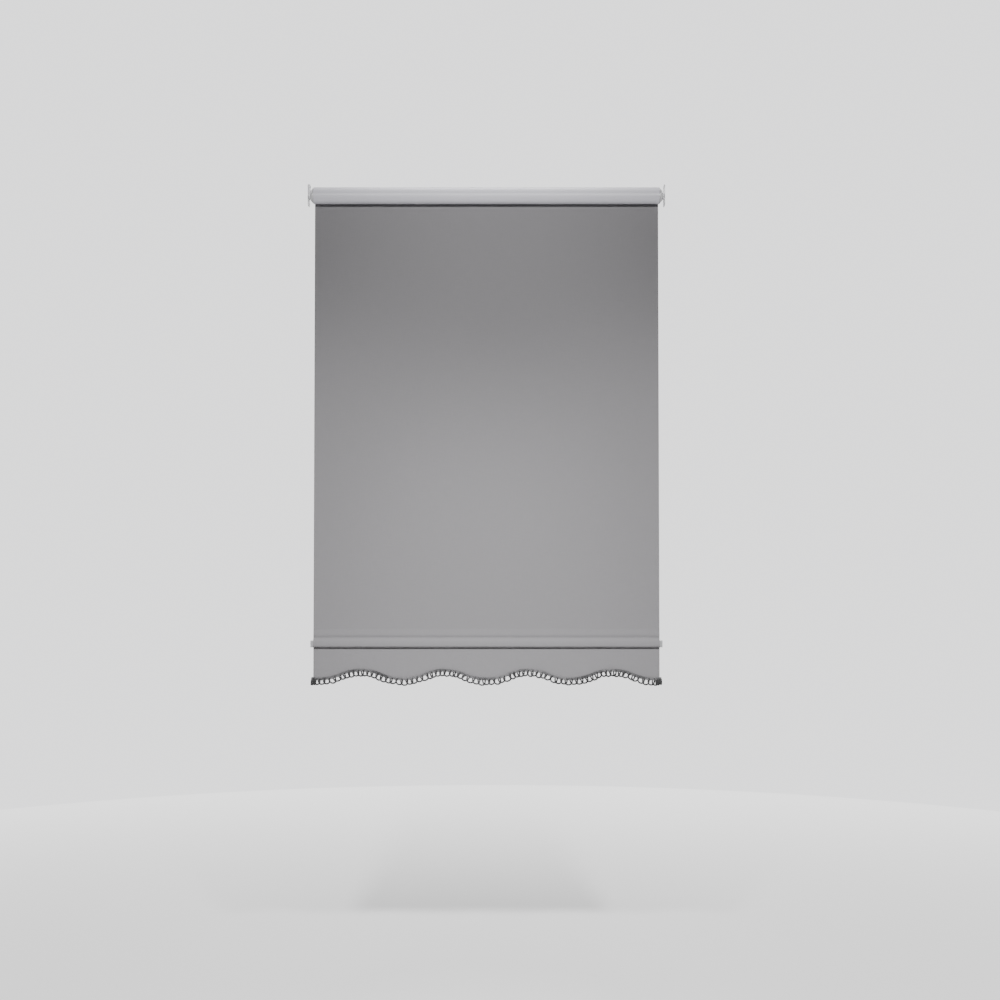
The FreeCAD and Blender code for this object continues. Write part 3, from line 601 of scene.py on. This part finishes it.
def beside(path: np.ndarray) -> tuple[np.ndarray, np.ndarray]:
    """Two directions square to a path and to each other, at each of its points."""
    heading = np.gradient(path, axis=0)
    heading /= np.linalg.norm(heading, axis=1, keepdims=True)
    level = np.cross((0.0, 1.0, 0.0), heading) + NEARLY_NOTHING
    level /= np.linalg.norm(level, axis=1, keepdims=True)
    return level, np.cross(heading, level)


def grid_of(first: np.ndarray, second: np.ndarray) -> np.ndarray:
    """A grid of pairs, with the first number changing by row and the second by column."""
    return np.stack(np.broadcast_arrays(first[:, None], second[None, :]), axis=-1)


class Shell:
    """Collects the points and faces of one piece, with the cloth's or yarn's own measure at each point."""

    def __init__(self) -> None:
        """Starts with no points."""
        self.points: list[np.ndarray] = []
        self.measures: list[np.ndarray] = []
        self.faces: list[tuple[int, ...]] = []
        self.coats: list[int] = []
        self.count = 0

    def add(self, points: np.ndarray, measures: np.ndarray) -> int:
        """Adds points, and returns the number of the first."""
        first = self.count
        self.points.append(points.reshape(-1, 3))
        self.measures.append(measures.reshape(-1, 2))
        self.count += len(self.points[-1])
        return first

    def quads(self, numbers: np.ndarray, coat: int = 0, turned: bool = False) -> None:
        """Joins a grid of point numbers with four-sided faces.

        Args:
            numbers: The grid, as rows of point numbers.
            coat: Which of the piece's finishes the faces take.
            turned: Whether the faces look the other way.
        """
        a, b, c, d = numbers[:-1, :-1], numbers[1:, :-1], numbers[1:, 1:], numbers[:-1, 1:]
        corners = np.stack((a, d, c, b) if turned else (a, b, c, d), axis=-1).reshape(-1, 4)
        self.faces.extend(map(tuple, corners.tolist()))
        self.coats.extend([coat] * len(corners))

    def cloth(self, middle: np.ndarray, measure: np.ndarray, thickness: float) -> None:
        """Adds a thin closed sheet about a middle surface. Its first finish is on the front.

        Args:
            middle: Rows of points down the cloth, each from left to right.
            measure: Each point's place on the cloth before it was hung.
            thickness: The cloth's thickness.
        """
        down, right = np.gradient(middle, axis=0), np.gradient(middle, axis=1)
        normal = np.cross(down, right)
        normal /= np.linalg.norm(normal, axis=-1, keepdims=True)
        shape = middle.shape[:2]
        grids = []
        for sign in (1, -1):
            first = self.add(middle + sign * thickness / 2 * normal, measure)
            grids.append(first + np.arange(shape[0] * shape[1]).reshape(shape))
        front, back = grids
        self.quads(front)
        self.quads(back, coat=1, turned=True)
        for edge in (lambda g: g[0], lambda g: g[:, -1], lambda g: g[-1][::-1], lambda g: g[::-1, 0]):
            self.quads(np.stack((edge(back), edge(front))))

    def yarn(self, path: np.ndarray, radius: float, sides: int = 6) -> None:
        """Adds a round yarn along a path, closed at both ends.

        Args:
            path: The points of its centre line.
            radius: The yarn's radius.
            sides: How many points each ring has.
        """
        level, upright = beside(path)
        turn = np.linspace(0, 2 * math.pi, sides, endpoint=False)[:, None]
        ring = level[:, None] * np.cos(turn) + upright[:, None] * np.sin(turn)
        first = self.add(path[:, None] + radius * ring, grid_of(lengths_along(path), radius * turn[:, 0]))
        grid = first + np.arange(len(path) * sides).reshape(len(path), sides)
        self.quads(np.concatenate((grid, grid[:, :1]), axis=1), turned=True)
        for end in (grid[0], grid[-1][::-1]):
            self.faces.append(tuple(end.tolist()))
            self.coats.append(0)

    def plied(self, path: np.ndarray, radius: float, lay: float, plies: int = 2) -> None:
        """Adds several yarns that wind round each other.

        Args:
            path: The points of the cord's centre line.
            radius: The cord's radius.
            lay: The length along the cord of one turn of a ply.
            plies: How many yarns there are.
        """
        level, upright = beside(path)
        along = lengths_along(path)
        for ply in range(plies):
            turn = (2 * math.pi * (along / lay + ply / plies))[:, None]
            offset = radius * PLY_OFFSET * (np.cos(turn) * level + np.sin(turn) * upright)
            self.yarn(path + offset, radius * PLY_RADIUS)

    def piece(self, name: str, slot: str, *finishes: Finish) -> bpy.types.Object:
        """Makes the Blender object.

        Args:
            name: The piece's name.
            slot: Not used.
            finishes: Its finishes, by the numbers that its faces name.

        Returns:
            The new object, in the scene.
        """
        mesh = bpy.data.meshes.new(name)
        mesh.from_pydata(np.concatenate(self.points).tolist(), [], self.faces)
        layer = mesh.uv_layers.new(name=MEASURE)
        corners = np.empty(len(mesh.loops), dtype=np.int32)
        mesh.loops.foreach_get("vertex_index", corners)
        layer.data.foreach_set("uv", np.concatenate(self.measures)[corners].astype(np.float32).ravel())
        for finish in finishes:
            mesh.materials.append(finish.material())
        mesh.polygons.foreach_set("material_index", self.coats)
        mesh.polygons.foreach_set("use_smooth", [True] * len(self.faces))
        mesh.set_sharp_from_angle(angle=SMOOTH_ANGLE)
        mesh.update()
        made = bpy.data.objects.new(name, mesh)
        bpy.context.scene.collection.objects.link(made)
        log.info("%s: %d faces", name, len(self.faces))
        return made


def cut_cloth(name: str, middle: np.ndarray, measure: np.ndarray, thickness: float) -> bpy.types.Object:
    """Makes a piece of the blind's cloth.

    Args:
        name: The piece's name.
        middle: Rows of points down its middle surface, each from left to right.
        measure: Each point's place on the cloth before it was hung.
        thickness: The cloth's thickness.

    Returns:
        The new piece.
    """
    shell = Shell()
    shell.cloth(middle, measure, thickness)
    return shell.piece(name, "blind_cloth", FACE, BACK)


def wander(*place: float) -> float:
    """Smooth noise from about -1 to 1 at a place given by up to three numbers."""
    return noise.noise(Vector((*place, 0.0, 0.0, 0.0)[:3]))


def curve_through(knots: np.ndarray, steps: int) -> np.ndarray:
    """A smooth line through knots.

    Args:
        knots: The points it passes through, one to a row.
        steps: How many points it gets between one knot and the next.

    Returns:
        The line's points, the knots among them.
    """
    ends = np.concatenate((2 * knots[:1] - knots[1:2], knots, 2 * knots[-1:] - knots[-2:-1]))
    share = np.linspace(0, 1, steps, endpoint=False)[:, None]
    spans = []
    for a, b, c, d in zip(ends, ends[1:], ends[2:], ends[3:]):
        cubic = (3 * (b - c) + d - a) * share**3 + (2 * a - 5 * b + 4 * c - d) * share**2
        spans.append(b + ((c - a) * share + cubic) / 2)
    return np.concatenate((*spans, knots[-1:]))


# The blind ----------------------------------------------------------------------------------------------


@dataclass
class Places:
    """Where the frame puts the cloth and what hangs from it."""

    left: float = field(init=False)
    right: float = field(init=False)
    front: float = field(init=False)
    back: float = field(init=False)
    roll_radius: float = field(init=False)
    roll_bore: float = field(init=False)
    pocket_low: Vector = field(init=False)
    pocket_high: Vector = field(init=False)
    seam_rise: float = 9 * MM
    curl: float = 0.5 * MM
    curl_width: float = 9 * MM
    rise: float = field(init=False)

    def __post_init__(self) -> None:
        """Reads the frame's boxes and the hem's travel."""
        low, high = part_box("cloth_drop")
        self.left, self.right = low.x, high.x
        self.front, self.back = low.y, high.y
        self.roll_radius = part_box("cloth_roll")[1].z
        self.roll_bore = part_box("adhesive_strip")[1].y
        self.pocket_low, self.pocket_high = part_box("hem_pocket")
        slide = next(j for j in frame["joints"] if j["name"] == "hem_slide")
        self.rise = max(slide["range_m"])

    @property
    def width(self) -> float:
        """The cloth's width."""
        return self.right - self.left

    @property
    def seam(self) -> float:
        """The height of the seam that closes the slat pocket."""
        return self.pocket_high.z + self.seam_rise

    def columns(self, count: int) -> np.ndarray:
        """Stations across the cloth's width."""
        return np.linspace(self.left, self.right, count)

    def cup(self, across: np.ndarray) -> np.ndarray:
        """How far the hanging cloth's cut edges curl towards the room, at each station."""
        inset = np.minimum(across - self.left, self.right - across)
        return -self.curl * np.exp(-((inset / self.curl_width) ** 2))


@dataclass
class WoundCloth:
    """The cloth on the roller, a spiral from the adhesive strip to where it leaves the roll."""

    places: Places
    turns: int = 6
    steps_per_turn: int = 72
    columns: int = 41
    gap: float = 0.012 * MM
    shuffle: float = 0.35 * MM
    shuffle_rate: float = 0.45
    ripple: float = 0.05 * MM
    ripple_rates: tuple[float, float] = (9, 1.2)

    def build(self) -> bpy.types.Object:
        """Makes the spiral, which turns with the roller."""
        places = self.places
        pitch = (places.roll_radius - places.roll_bore) / (self.turns + 1)
        inner = places.roll_bore + pitch / 2
        across = places.columns(self.columns)
        angles = np.linspace(self.turns * 2 * math.pi, 0, self.turns * self.steps_per_turn + 1)
        middle = np.empty((len(angles), len(across), 3))
        measure = np.empty((len(angles), len(across), 2))
        unrolled = 0.0
        for row, angle in enumerate(angles):
            radius = inner + pitch * (self.turns - angle / (2 * math.pi))
            side = self.shuffle * wander(angle * self.shuffle_rate, 3.0)
            wide, round_it = self.ripple_rates
            turned = math.cos(angle) * round_it, math.sin(angle) * round_it
            for column, station in enumerate(across):
                reach = radius + self.ripple * wander(station * wide, *turned)
                middle[row, column] = station + side, reach * math.cos(angle), reach * math.sin(angle)
                measure[row, column] = station, unrolled
            unrolled -= radius * 2 * math.pi / self.steps_per_turn
        piece = cut_cloth("wound_cloth", middle, measure, pitch - self.gap)
        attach(piece, "roller")
        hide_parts("cloth_roll")
        return piece


@dataclass
class HangingCloth:
    """The cloth between the roll and the pocket, in overlapping lengths so that it can wind in or pay out.

    The upper length hangs from the mount and the lower one rides with the hem. The middle length closes the gap
    between them when the hem goes below its place at rest.
    """

    places: Places
    columns: int = 61
    rows: int = 60
    thickness: float = 0.09 * MM
    middle_share: float = 0.16
    ease: float = 1.01
    lead_angle: float = 55.0
    lead_sink: float = 0.25 * MM
    lead_bow: float = 0.7
    lead_tail: tuple[float, float] = (2 * MM, 6 * MM)
    blend_share: float = 0.75

    def plane(self, layer: int) -> float:
        """The depth of one of three layers, of which the first is nearest the room."""
        step = (self.places.back - self.places.front - self.thickness) / 2
        return self.places.front + self.thickness / 2 + layer * step

    def length(self, name: str, layer: int, top: float, foot: float) -> bpy.types.Object:
        """Makes one length of the hanging cloth.

        Args:
            name: The piece's name.
            layer: Its layer, 0 to 2.
            top: The height of its top edge.
            foot: The height of its lower edge.

        Returns:
            The new piece.
        """
        across = self.places.columns(self.columns)
        middle = np.empty((self.rows, self.columns, 3))
        middle[..., 0] = across
        middle[..., 1] = self.plane(layer) + self.places.cup(across)
        middle[..., 2] = np.linspace(top, foot, self.rows)[:, None]
        return cut_cloth(name, middle, middle[..., [0, 2]], self.thickness)

    def build(self) -> list[bpy.types.Object]:
        """Makes the three lengths and the short lead from the roll."""
        seam, rise = self.places.seam, self.places.rise

        upper = self.length("drop_cloth_upper", 0, 0.0, seam)
        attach(upper, "root")
        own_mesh(upper)

        lower = self.length("drop_cloth_lower", 2, 0.0, seam)
        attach(lower, "hem")
        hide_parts("cloth_drop")
        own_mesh(lower)

        centre, half, span = seam / 2, -seam * self.middle_share, self.blend_share * self.ease * rise
        middle = self.length("drop_cloth_middle", 1, centre + half, centre - half)
        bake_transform(middle)
        return [upper, middle, lower, self.lead()]

    def lead(self) -> bpy.types.Object:
        """Makes the short arc of cloth that leaves the roll at its back."""
        across, hung = self.places.columns(self.columns), self.plane(1)
        line = []
        shares = np.linspace(1, 0, 15)
        for share in shares:
            angle = math.radians(self.lead_angle) * share
            radius = hung - (hung - self.places.roll_radius + self.lead_sink) * share**self.lead_bow
            line.append((radius * math.cos(angle), radius * math.sin(angle)))
        profile = np.array(line + [(hung, -below) for below in self.lead_tail])
        middle = np.empty((len(profile), self.columns, 3))
        middle[..., 0] = across
        middle[..., 1:] = profile[:, None]
        middle[..., 1] += self.places.cup(across) * np.append(1 - shares, (1, 1))[:, None]
        measure = grid_of(-lengths_along(profile), across)[..., ::-1]
        piece = cut_cloth("cloth_lead_off", middle, measure, self.thickness)
        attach(piece, "root")
        return piece


@dataclass
class SlatPocket:
    """The sleeve round the slat: two layers sewn together above it, and a full belly below the seam."""

    places: Places
    columns: int = 261
    thickness: float = 0.35 * MM
    belly: float = 1.9 * MM
    swell: float = 1.3 * MM
    pucker: float = 0.16 * MM
    pucker_reach: float = 6 * MM
    sag: float = 0.07 * MM
    droop: float = 0.03 * MM
    sag_reach: float = 3 * MM
    tack: float = 3 * MM
    stitch_pitch: float = 3.6 * MM
    stitch_length: float = 2.7 * MM
    thread_radius: float = 0.2 * MM

    def knots(self) -> np.ndarray:
        """The sleeve's section as (y, z), from the front layer's top edge round to the back layer's."""
        low, high, seam = self.places.pocket_low, self.places.pocket_high, self.places.seam
        front, back = low.y, high.y - self.thickness / 2
        return np.array(
            (
                (back + 0.55 * MM, seam + 24 * MM),
                (back + 0.10 * MM, seam + 18 * MM),
                (back - 0.75 * self.swell, seam + 9.5 * MM),
                (back - self.swell, seam + 5.0 * MM),
                (back - 0.75 * MM, seam + 1.6 * MM),
                (back - 0.40 * MM, seam - 0.8 * MM),
                (back - 1.10 * MM, seam - 3.6 * MM),
                (back - 4.20 * MM, high.z + 1.6 * MM),
                (front + 0.35 * MM, high.z - 1.4 * MM),
                (front - 0.60 * self.belly, high.z - 5.6 * MM),
                (front - self.belly, low.z + 5.6 * MM),
                (front - 0.65 * self.belly, low.z + 2.1 * MM),
                (front + 1.6 * MM, low.z - 0.1 * MM),
                (back - 3.0 * MM, low.z - 0.6 * MM),
                (back - 0.7 * MM, low.z + 0.5 * MM),
                (back, low.z + 4 * MM),
                (back, high.z),
                (back, seam + 1.2 * MM),
            )
        )

    def build(self) -> list[bpy.types.Object]:
        """Makes the sleeve and the stitches that close it."""
        section = curve_through(self.knots(), 6)
        across = self.places.columns(self.columns)
        along = lengths_along(section)
        middle = np.empty((len(section), self.columns, 3))
        seam = self.places.seam
        for row, (y, z) in enumerate(section):
            near_seam = math.exp(-(((z - seam) / self.pucker_reach) ** 2))
            pucker = self.pucker * near_seam if y < self.places.front - 0.6 * MM else 0.0
            full = min(1.0, max(0.0, (self.places.front - MM - y) / self.sag_reach))
            for column, x in enumerate(across):
                pull = pucker * wander(x * 120, z * 50)
                sag = self.sag * full * wander(x * 16, z * 40, 5.0)
                middle[row, column] = x, y + pull + sag, z + self.droop * full * wander(x * 9, 2.0)
        measure = grid_of(-along, across)[..., ::-1]
        piece = cut_cloth("slat_pocket", middle, measure, self.thickness)
        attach(piece, "hem")
        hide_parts("hem_pocket")
        stitches = self.stitches()
        return [piece, stitches]

    def stitches(self) -> bpy.types.Object:
        """Makes the seam's lockstitches on both sides, and those that hold the skirt behind the pocket."""
        seam, back = self.places.seam - 0.5 * MM, self.places.back + 0.05 * MM
        front = self.places.pocket_high.y - self.thickness - 0.42 * MM
        tacked = self.places.pocket_low.z + self.tack
        shell = Shell()
        for surface, outwards, height in ((front, -1, seam), (back, 1, seam), (back, 1, tacked)):
            self.row_of_stitches(shell, surface, outwards, height)
        piece = shell.piece("pocket_stitches", "blind_cloth", THREAD)
        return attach(piece, "hem")

    def row_of_stitches(self, shell: Shell, surface: float, outwards: int, height: float) -> None:
        """Adds one row of stitches.

        Args:
            shell: The piece they go into.
            surface: The depth of the cloth's face.
            outwards: The sign of Y on the open side of the face.
            height: The height of the row.
        """
        draws = random.Random(SEED)
        share = np.linspace(0, 1, 6)
        for number in range(int(self.places.width / self.stitch_pitch)):
            start = self.places.left + (number + 0.5) * self.stitch_pitch - self.stitch_length / 2
            path = np.empty((len(share), 3))
            path[:, 0] = start + share * self.stitch_length
            path[:, 1] = surface + outwards * (0.24 * np.sin(share * math.pi) - 0.12) * MM
            path[:, 2] = height + draws.uniform(-0.12, 0.12) * MM + draws.uniform(-0.15, 0.15) * MM * share
            shell.yarn(path, self.thread_radius)


@dataclass
class Scallops:
    """The line that the skirt's trim follows: equal arcs, low at the middle, that meet at half height."""

    pitch: float = 214.5 * MM
    height: float = 22.5 * MM
    top: float = field(init=False)

    def __post_init__(self) -> None:
        """Reads the highest point of the trim from the frame."""
        self.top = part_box("loop_trim")[1].z

    def line(self, across: float) -> float:
        """The height of the line at a station."""
        half_pitch, rise = self.pitch / 2, self.height / 2
        radius = ((half_pitch / 2) ** 2 + rise**2) / (2 * rise)
        bend = round(across / half_pitch)
        offset = across - bend * half_pitch
        arc = math.sqrt(radius**2 - offset**2) - (radius - rise)
        return self.top - rise + (arc if bend % 2 else -arc)

    def slope(self, across: float) -> float:
        """The line's slope at a station."""
        step = 0.5 * MM
        return (self.line(across + step) - self.line(across - step)) / (2 * step)


@dataclass
class Skirt:
    """The scalloped cloth below the pocket."""

    places: Places
    scallops: Scallops
    columns: int = 261
    rows: int = 26
    thickness: float = 0.35 * MM
    wave: float = 0.9 * MM
    tuck: float = 5 * MM
    header: float = 6.4 * MM
    covered: float = 0.8

    @property
    def top(self) -> float:
        """The height of the skirt's upper edge, behind the pocket."""
        return self.places.pocket_low.z + self.tuck

    def plane(self, across: float, height: float) -> float:
        """The depth of the skirt's middle surface, which moves gently towards its lower edge."""
        fall = min(1.0, max(0.0, (self.top - height) / (self.top - self.scallops.top)))
        middle = (self.places.front + self.places.back) / 2
        return middle + self.wave * fall**2 * wander(across * 7.5, height * 4, 9.0)

    def build(self) -> list[bpy.types.Object]:
        """Makes the skirt and its trim. The seam that holds it is among the pocket's stitches."""
        across = self.places.columns(self.columns)
        middle = np.empty((self.rows, self.columns, 3))
        for column, x in enumerate(across):
            foot = self.scallops.line(x) - self.header * self.covered
            for row, share in enumerate(np.linspace(0, 1, self.rows)):
                z = self.top + (foot - self.top) * share
                middle[row, column] = x, self.plane(x, z), z
        piece = cut_cloth("skirt_cloth", middle, middle[..., [0, 2]], self.thickness)
        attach(piece, "hem")
        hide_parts("scalloped_skirt")
        trim = Trim(self.places, self.scallops, self).build()
        return [piece, *trim]


@dataclass
class Trim:
    """A plaited header sewn along the scallops, with loops of twisted cord that hang from it."""

    places: Places
    scallops: Scallops
    skirt: Skirt
    header: float = 9.2 * MM
    lift: float = 2.2 * MM
    strand: float = 1.65 * MM
    plait_length: float = 12.5 * MM
    loop_pitch: float = 12.4 * MM
    loop_drop: float = 17.0 * MM
    loop_width: float = 17.2 * MM
    cord: float = 2.25 * MM
    lay: float = 7.5 * MM
    overhang: float = 4 * MM
    bunch_pitch: float = 2.4 * MM
    step: float = 0.9 * MM
    stand_off: float = 0.25 * MM
    cross_over: float = 0.4 * MM

    def spot(self, across: float, below: float, ahead: float) -> Place:
        """A point below the trim's top line.

        Args:
            across: The station of the top line that it hangs from.
            below: How far below the line it is, square to the line.
            ahead: How far it is in front of the skirt's face.

        Returns:
            The point.
        """
        slope = self.scallops.slope(across)
        size = math.hypot(1, slope)
        x, z = across + below * slope / size, self.scallops.line(across) - below / size
        held = min(max(x, self.places.left), self.places.right)
        return x, self.skirt.plane(held, z) - self.skirt.thickness / 2 - ahead, z

    def build(self) -> list[bpy.types.Object]:
        """Makes the header and the loops, which ride with the hem."""
        pieces = [self.plait(), self.loops()]
        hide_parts("loop_trim")
        return [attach(piece, "hem") for piece in pieces]

    def plait(self) -> bpy.types.Object:
        """Makes a flat plait of three strands of two yarns each."""
        reach = self.places.right + self.overhang
        stations = np.arange(-reach, reach, self.step)
        swing = self.header / 2 - self.strand
        shell = Shell()
        for strand in range(3):
            path = []
            for station in stations:
                turn = 2 * math.pi * (station / self.plait_length + strand / 3)
                below = self.header / 2 - self.lift + swing * math.sin(turn)
                ahead = self.strand + self.stand_off + self.cross_over * math.sin(2 * turn)
                path.append(self.spot(station, below, ahead))
            shell.plied(np.array(path), self.strand, self.lay * 0.7)
        return shell.piece("trim_plait", "trim_braid", BRAID)

    def loops(self) -> bpy.types.Object:
        """Makes the hanging loops, close together where the trim's ends are turned in."""
        draws = random.Random(SEED)
        reach = self.places.right - self.loop_width * 0.45
        count = int(2 * reach / self.loop_pitch)
        stations = [(-count / 2 + number) * self.loop_pitch for number in range(count + 1)]
        for side, bunched in ((Side.LEFT, 4), (Side.RIGHT, 5)):
            end = side.value * (self.places.right + self.overhang - self.bunch_pitch)
            stations += [end - side.value * number * self.bunch_pitch for number in range(bunched)]
        shell = Shell()
        for number, station in enumerate(stations):
            width = self.loop_width * (0.2 if number > count else draws.uniform(0.9, 1.08))
            drop = self.loop_drop * draws.uniform(0.92, 1.08)
            lean = draws.uniform(-2.2, 2.2) * MM
            sway = draws.uniform(-0.6, 0.6) * MM
            path = self.loop(station + draws.uniform(-0.5, 0.5) * MM, width, drop, lean, sway)
            shell.plied(path, self.cord, self.lay)
        return shell.piece("trim_loops", "trim_braid", LOOPS)

    def loop(self, station: float, width: float, drop: float, lean: float, sway: float) -> np.ndarray:
        """The centre line of one loop, which starts and ends behind the header.

        Args:
            station: Where it hangs from.
            width: Its greatest width.
            drop: How far it hangs below the middle of the header.
            lean: How far its lowest point is to the side.
            sway: How far its lowest point is towards the room.

        Returns:
            The points of the loop.
        """
        start = self.header * 0.5 - self.lift
        points = []
        for share in np.linspace(-1, 1, 33):
            depth = 1 - abs(share) ** 2.4
            side = width / 2 * math.sin(share * math.pi / 2)
            ahead = self.cord * (1 + 0.75 * share * (1 - depth)) + sway * depth
            below = start + (drop - self.cord) * depth
            points.append(self.spot(station + side + lean * depth, below, ahead))
        return np.array(points)


@dataclass
class Hardware:
    """The brackets, roller ends, works and slat, whose shapes are the frame's own."""

    finishes: dict[str, Finish]

    def dress(self) -> None:
        """Gives every shown node of the frame the finish of its material slot."""
        for row in frame["record"]["subparts"]:
            node = frame["nodes"][row["node"]]
            finish = self.finishes.get(row["material_slot"])
            if node.hide_render or finish is None:
                continue
            node.data.materials.clear()
            node.data.materials.append(finish.material())
            log.info("%s: %s", row["node"], finish.name)


@dataclass(frozen=True)
class Spot:
    """A round soft light with a cone that fades out evenly."""

    name: str
    place: Place
    aim: Place
    half_angle: float
    power: float
    radius: float = 0.12

    def build(self) -> None:
        """Adds the light."""
        light = bpy.data.lights.new(self.name, "SPOT")
        light.energy = self.power
        light.shadow_soft_size = self.radius
        light.spot_size = math.radians(2 * self.half_angle)
        light.spot_blend = 1.0
        stand(light, self.place, self.aim)


@dataclass(frozen=True)
class Panel:
    """A square soft light."""

    name: str
    place: Place
    aim: Place
    size: float
    power: float

    def build(self) -> None:
        """Adds the light."""
        light = bpy.data.lights.new(self.name, "AREA")
        light.size = self.size
        light.energy = self.power
        stand(light, self.place, self.aim)


def stand(data: bpy.types.ID, place: Sequence[float], aim: Sequence[float]) -> bpy.types.Object:
    """Stands a light or a camera somewhere and points it.

    Args:
        data: The light or the camera.
        place: Where it stands.
        aim: What it points at.

    Returns:
        The new object.
    """
    made = bpy.data.objects.new(data.name, data)
    made.location = place
    made.rotation_euler = (Vector(place) - Vector(aim)).to_track_quat("Z", "Y").to_euler()
    bpy.context.scene.collection.objects.link(made)
    return made


@dataclass
class Studio:
    """The floor, the surround, the lights and the camera."""

    distance: float = 3.97
    lens: float = 56.0
    aim: tuple[float, float] = (0.0347, -0.782)
    eye_height: float = -0.906
    floor_height: float = -2.05
    floor_radius: float = 3.6
    floor_sides: int = 128
    surround: float = 0.10
    white: float = 1.9
    lights: tuple[Spot | Panel, ...] = (
        Spot("upper_front_left", (-0.45, -3.4, 0.40), (-0.35, 0.0, -0.14), 16.5, 225.0),
        Spot("upper_front_right", (0.60, -3.4, 0.40), (0.38, 0.0, -0.14), 16.5, 235.0),
        Spot("lower_key_left", (-0.50, -2.6, 0.95), (-0.55, 0.0, -1.88), 24.5, 495.0),
        Spot("lower_key_right", (0.65, -2.6, 0.95), (0.55, 0.0, -1.88), 24.5, 515.0),
        Panel("top_soft", (0.0, 0.22, 1.0), (0.0, 0.0, 0.0), 0.8, 15.0),
        Panel("back_soft", (0.4, 3.2, 0.6), (0.0, 0.0, -0.6), 2.4, 45.0),
    )

    def build(self) -> None:
        """Makes everything round the blind."""
        self.floor()
        self.world()
        for light in self.lights:
            light.build()
        data = bpy.data.cameras.new("camera")
        data.lens = self.lens
        eye = (self.aim[0], -self.distance, self.eye_height)
        bpy.context.scene.camera = stand(data, eye, (self.aim[0], 0.0, self.aim[1]))

    def floor(self) -> None:
        """Makes a pale round floor that fades into the surround."""
        mesh = bpy.data.meshes.new("floor")
        turns = np.linspace(0, 2 * math.pi, self.floor_sides, endpoint=False)
        across, deep = self.floor_radius * np.cos(turns), self.floor_radius * np.sin(turns)
        ring = np.stack((across, deep, np.full(self.floor_sides, self.floor_height)), axis=1)
        mesh.from_pydata(ring.tolist(), [], [tuple(range(self.floor_sides))])
        material = bpy.data.materials.new("studio_floor")
        material.use_nodes = True
        material.node_tree.nodes.clear()
        graph = Graph(material.node_tree)
        place = graph.stretch(graph.object_place(), (1.0, 1.0, 0.0))
        reach = graph.node("ShaderNodeVectorMath", {0: place}, operation="LENGTH").outputs["Value"]
        far = graph.spread(reach, 0.12, 0.95, 0.10 * self.floor_radius, 0.97 * self.floor_radius)
        seen = graph.node("ShaderNodeLightPath").outputs["Is Camera Ray"]
        glow = graph.mix(graph.sum("MULTIPLY", far, seen), (0.0, 0.0, 0.0), (1.0, 1.0, 1.0))
        feeds = {"Base Color": (0.86, 0.86, 0.86, 1.0), "Roughness": 0.9}
        feeds |= {"Emission Color": glow, "Emission Strength": self.white}
        shader = graph.node("ShaderNodeBsdfPrincipled", feeds)
        graph.node("ShaderNodeOutputMaterial", {"Surface": shader.outputs[0]})
        mesh.materials.append(material)
        floor = bpy.data.objects.new("floor", mesh)
        bpy.context.scene.collection.objects.link(floor)

    def world(self) -> None:
        """Makes an even surround that looks white and lights softly."""
        world = bpy.data.worlds.new("surround")
        world.use_nodes = True
        world.node_tree.nodes.clear()
        graph = Graph(world.node_tree)
        seen = graph.node("ShaderNodeLightPath").outputs["Is Camera Ray"]
        strength = graph.spread(seen, self.surround, self.white)
        ground = graph.node("ShaderNodeBackground", {"Color": (0.95, 0.95, 0.96, 1.0), "Strength": strength})
        graph.node("ShaderNodeOutputWorld", {"Surface": ground.outputs[0]})
        bpy.context.scene.world = world


def main() -> None:
    """Builds the blind and its studio."""
    logging.basicConfig(level=logging.INFO, format="%(name)s: %(message)s")
    places = Places()
    WoundCloth(places).build()
    HangingCloth(places).build()
    SlatPocket(places).build()
    Skirt(places, Scallops()).build()
    Hardware(SLOT_FINISHES).dress()
    Studio().build()


if __name__ == "__main__":
    main()
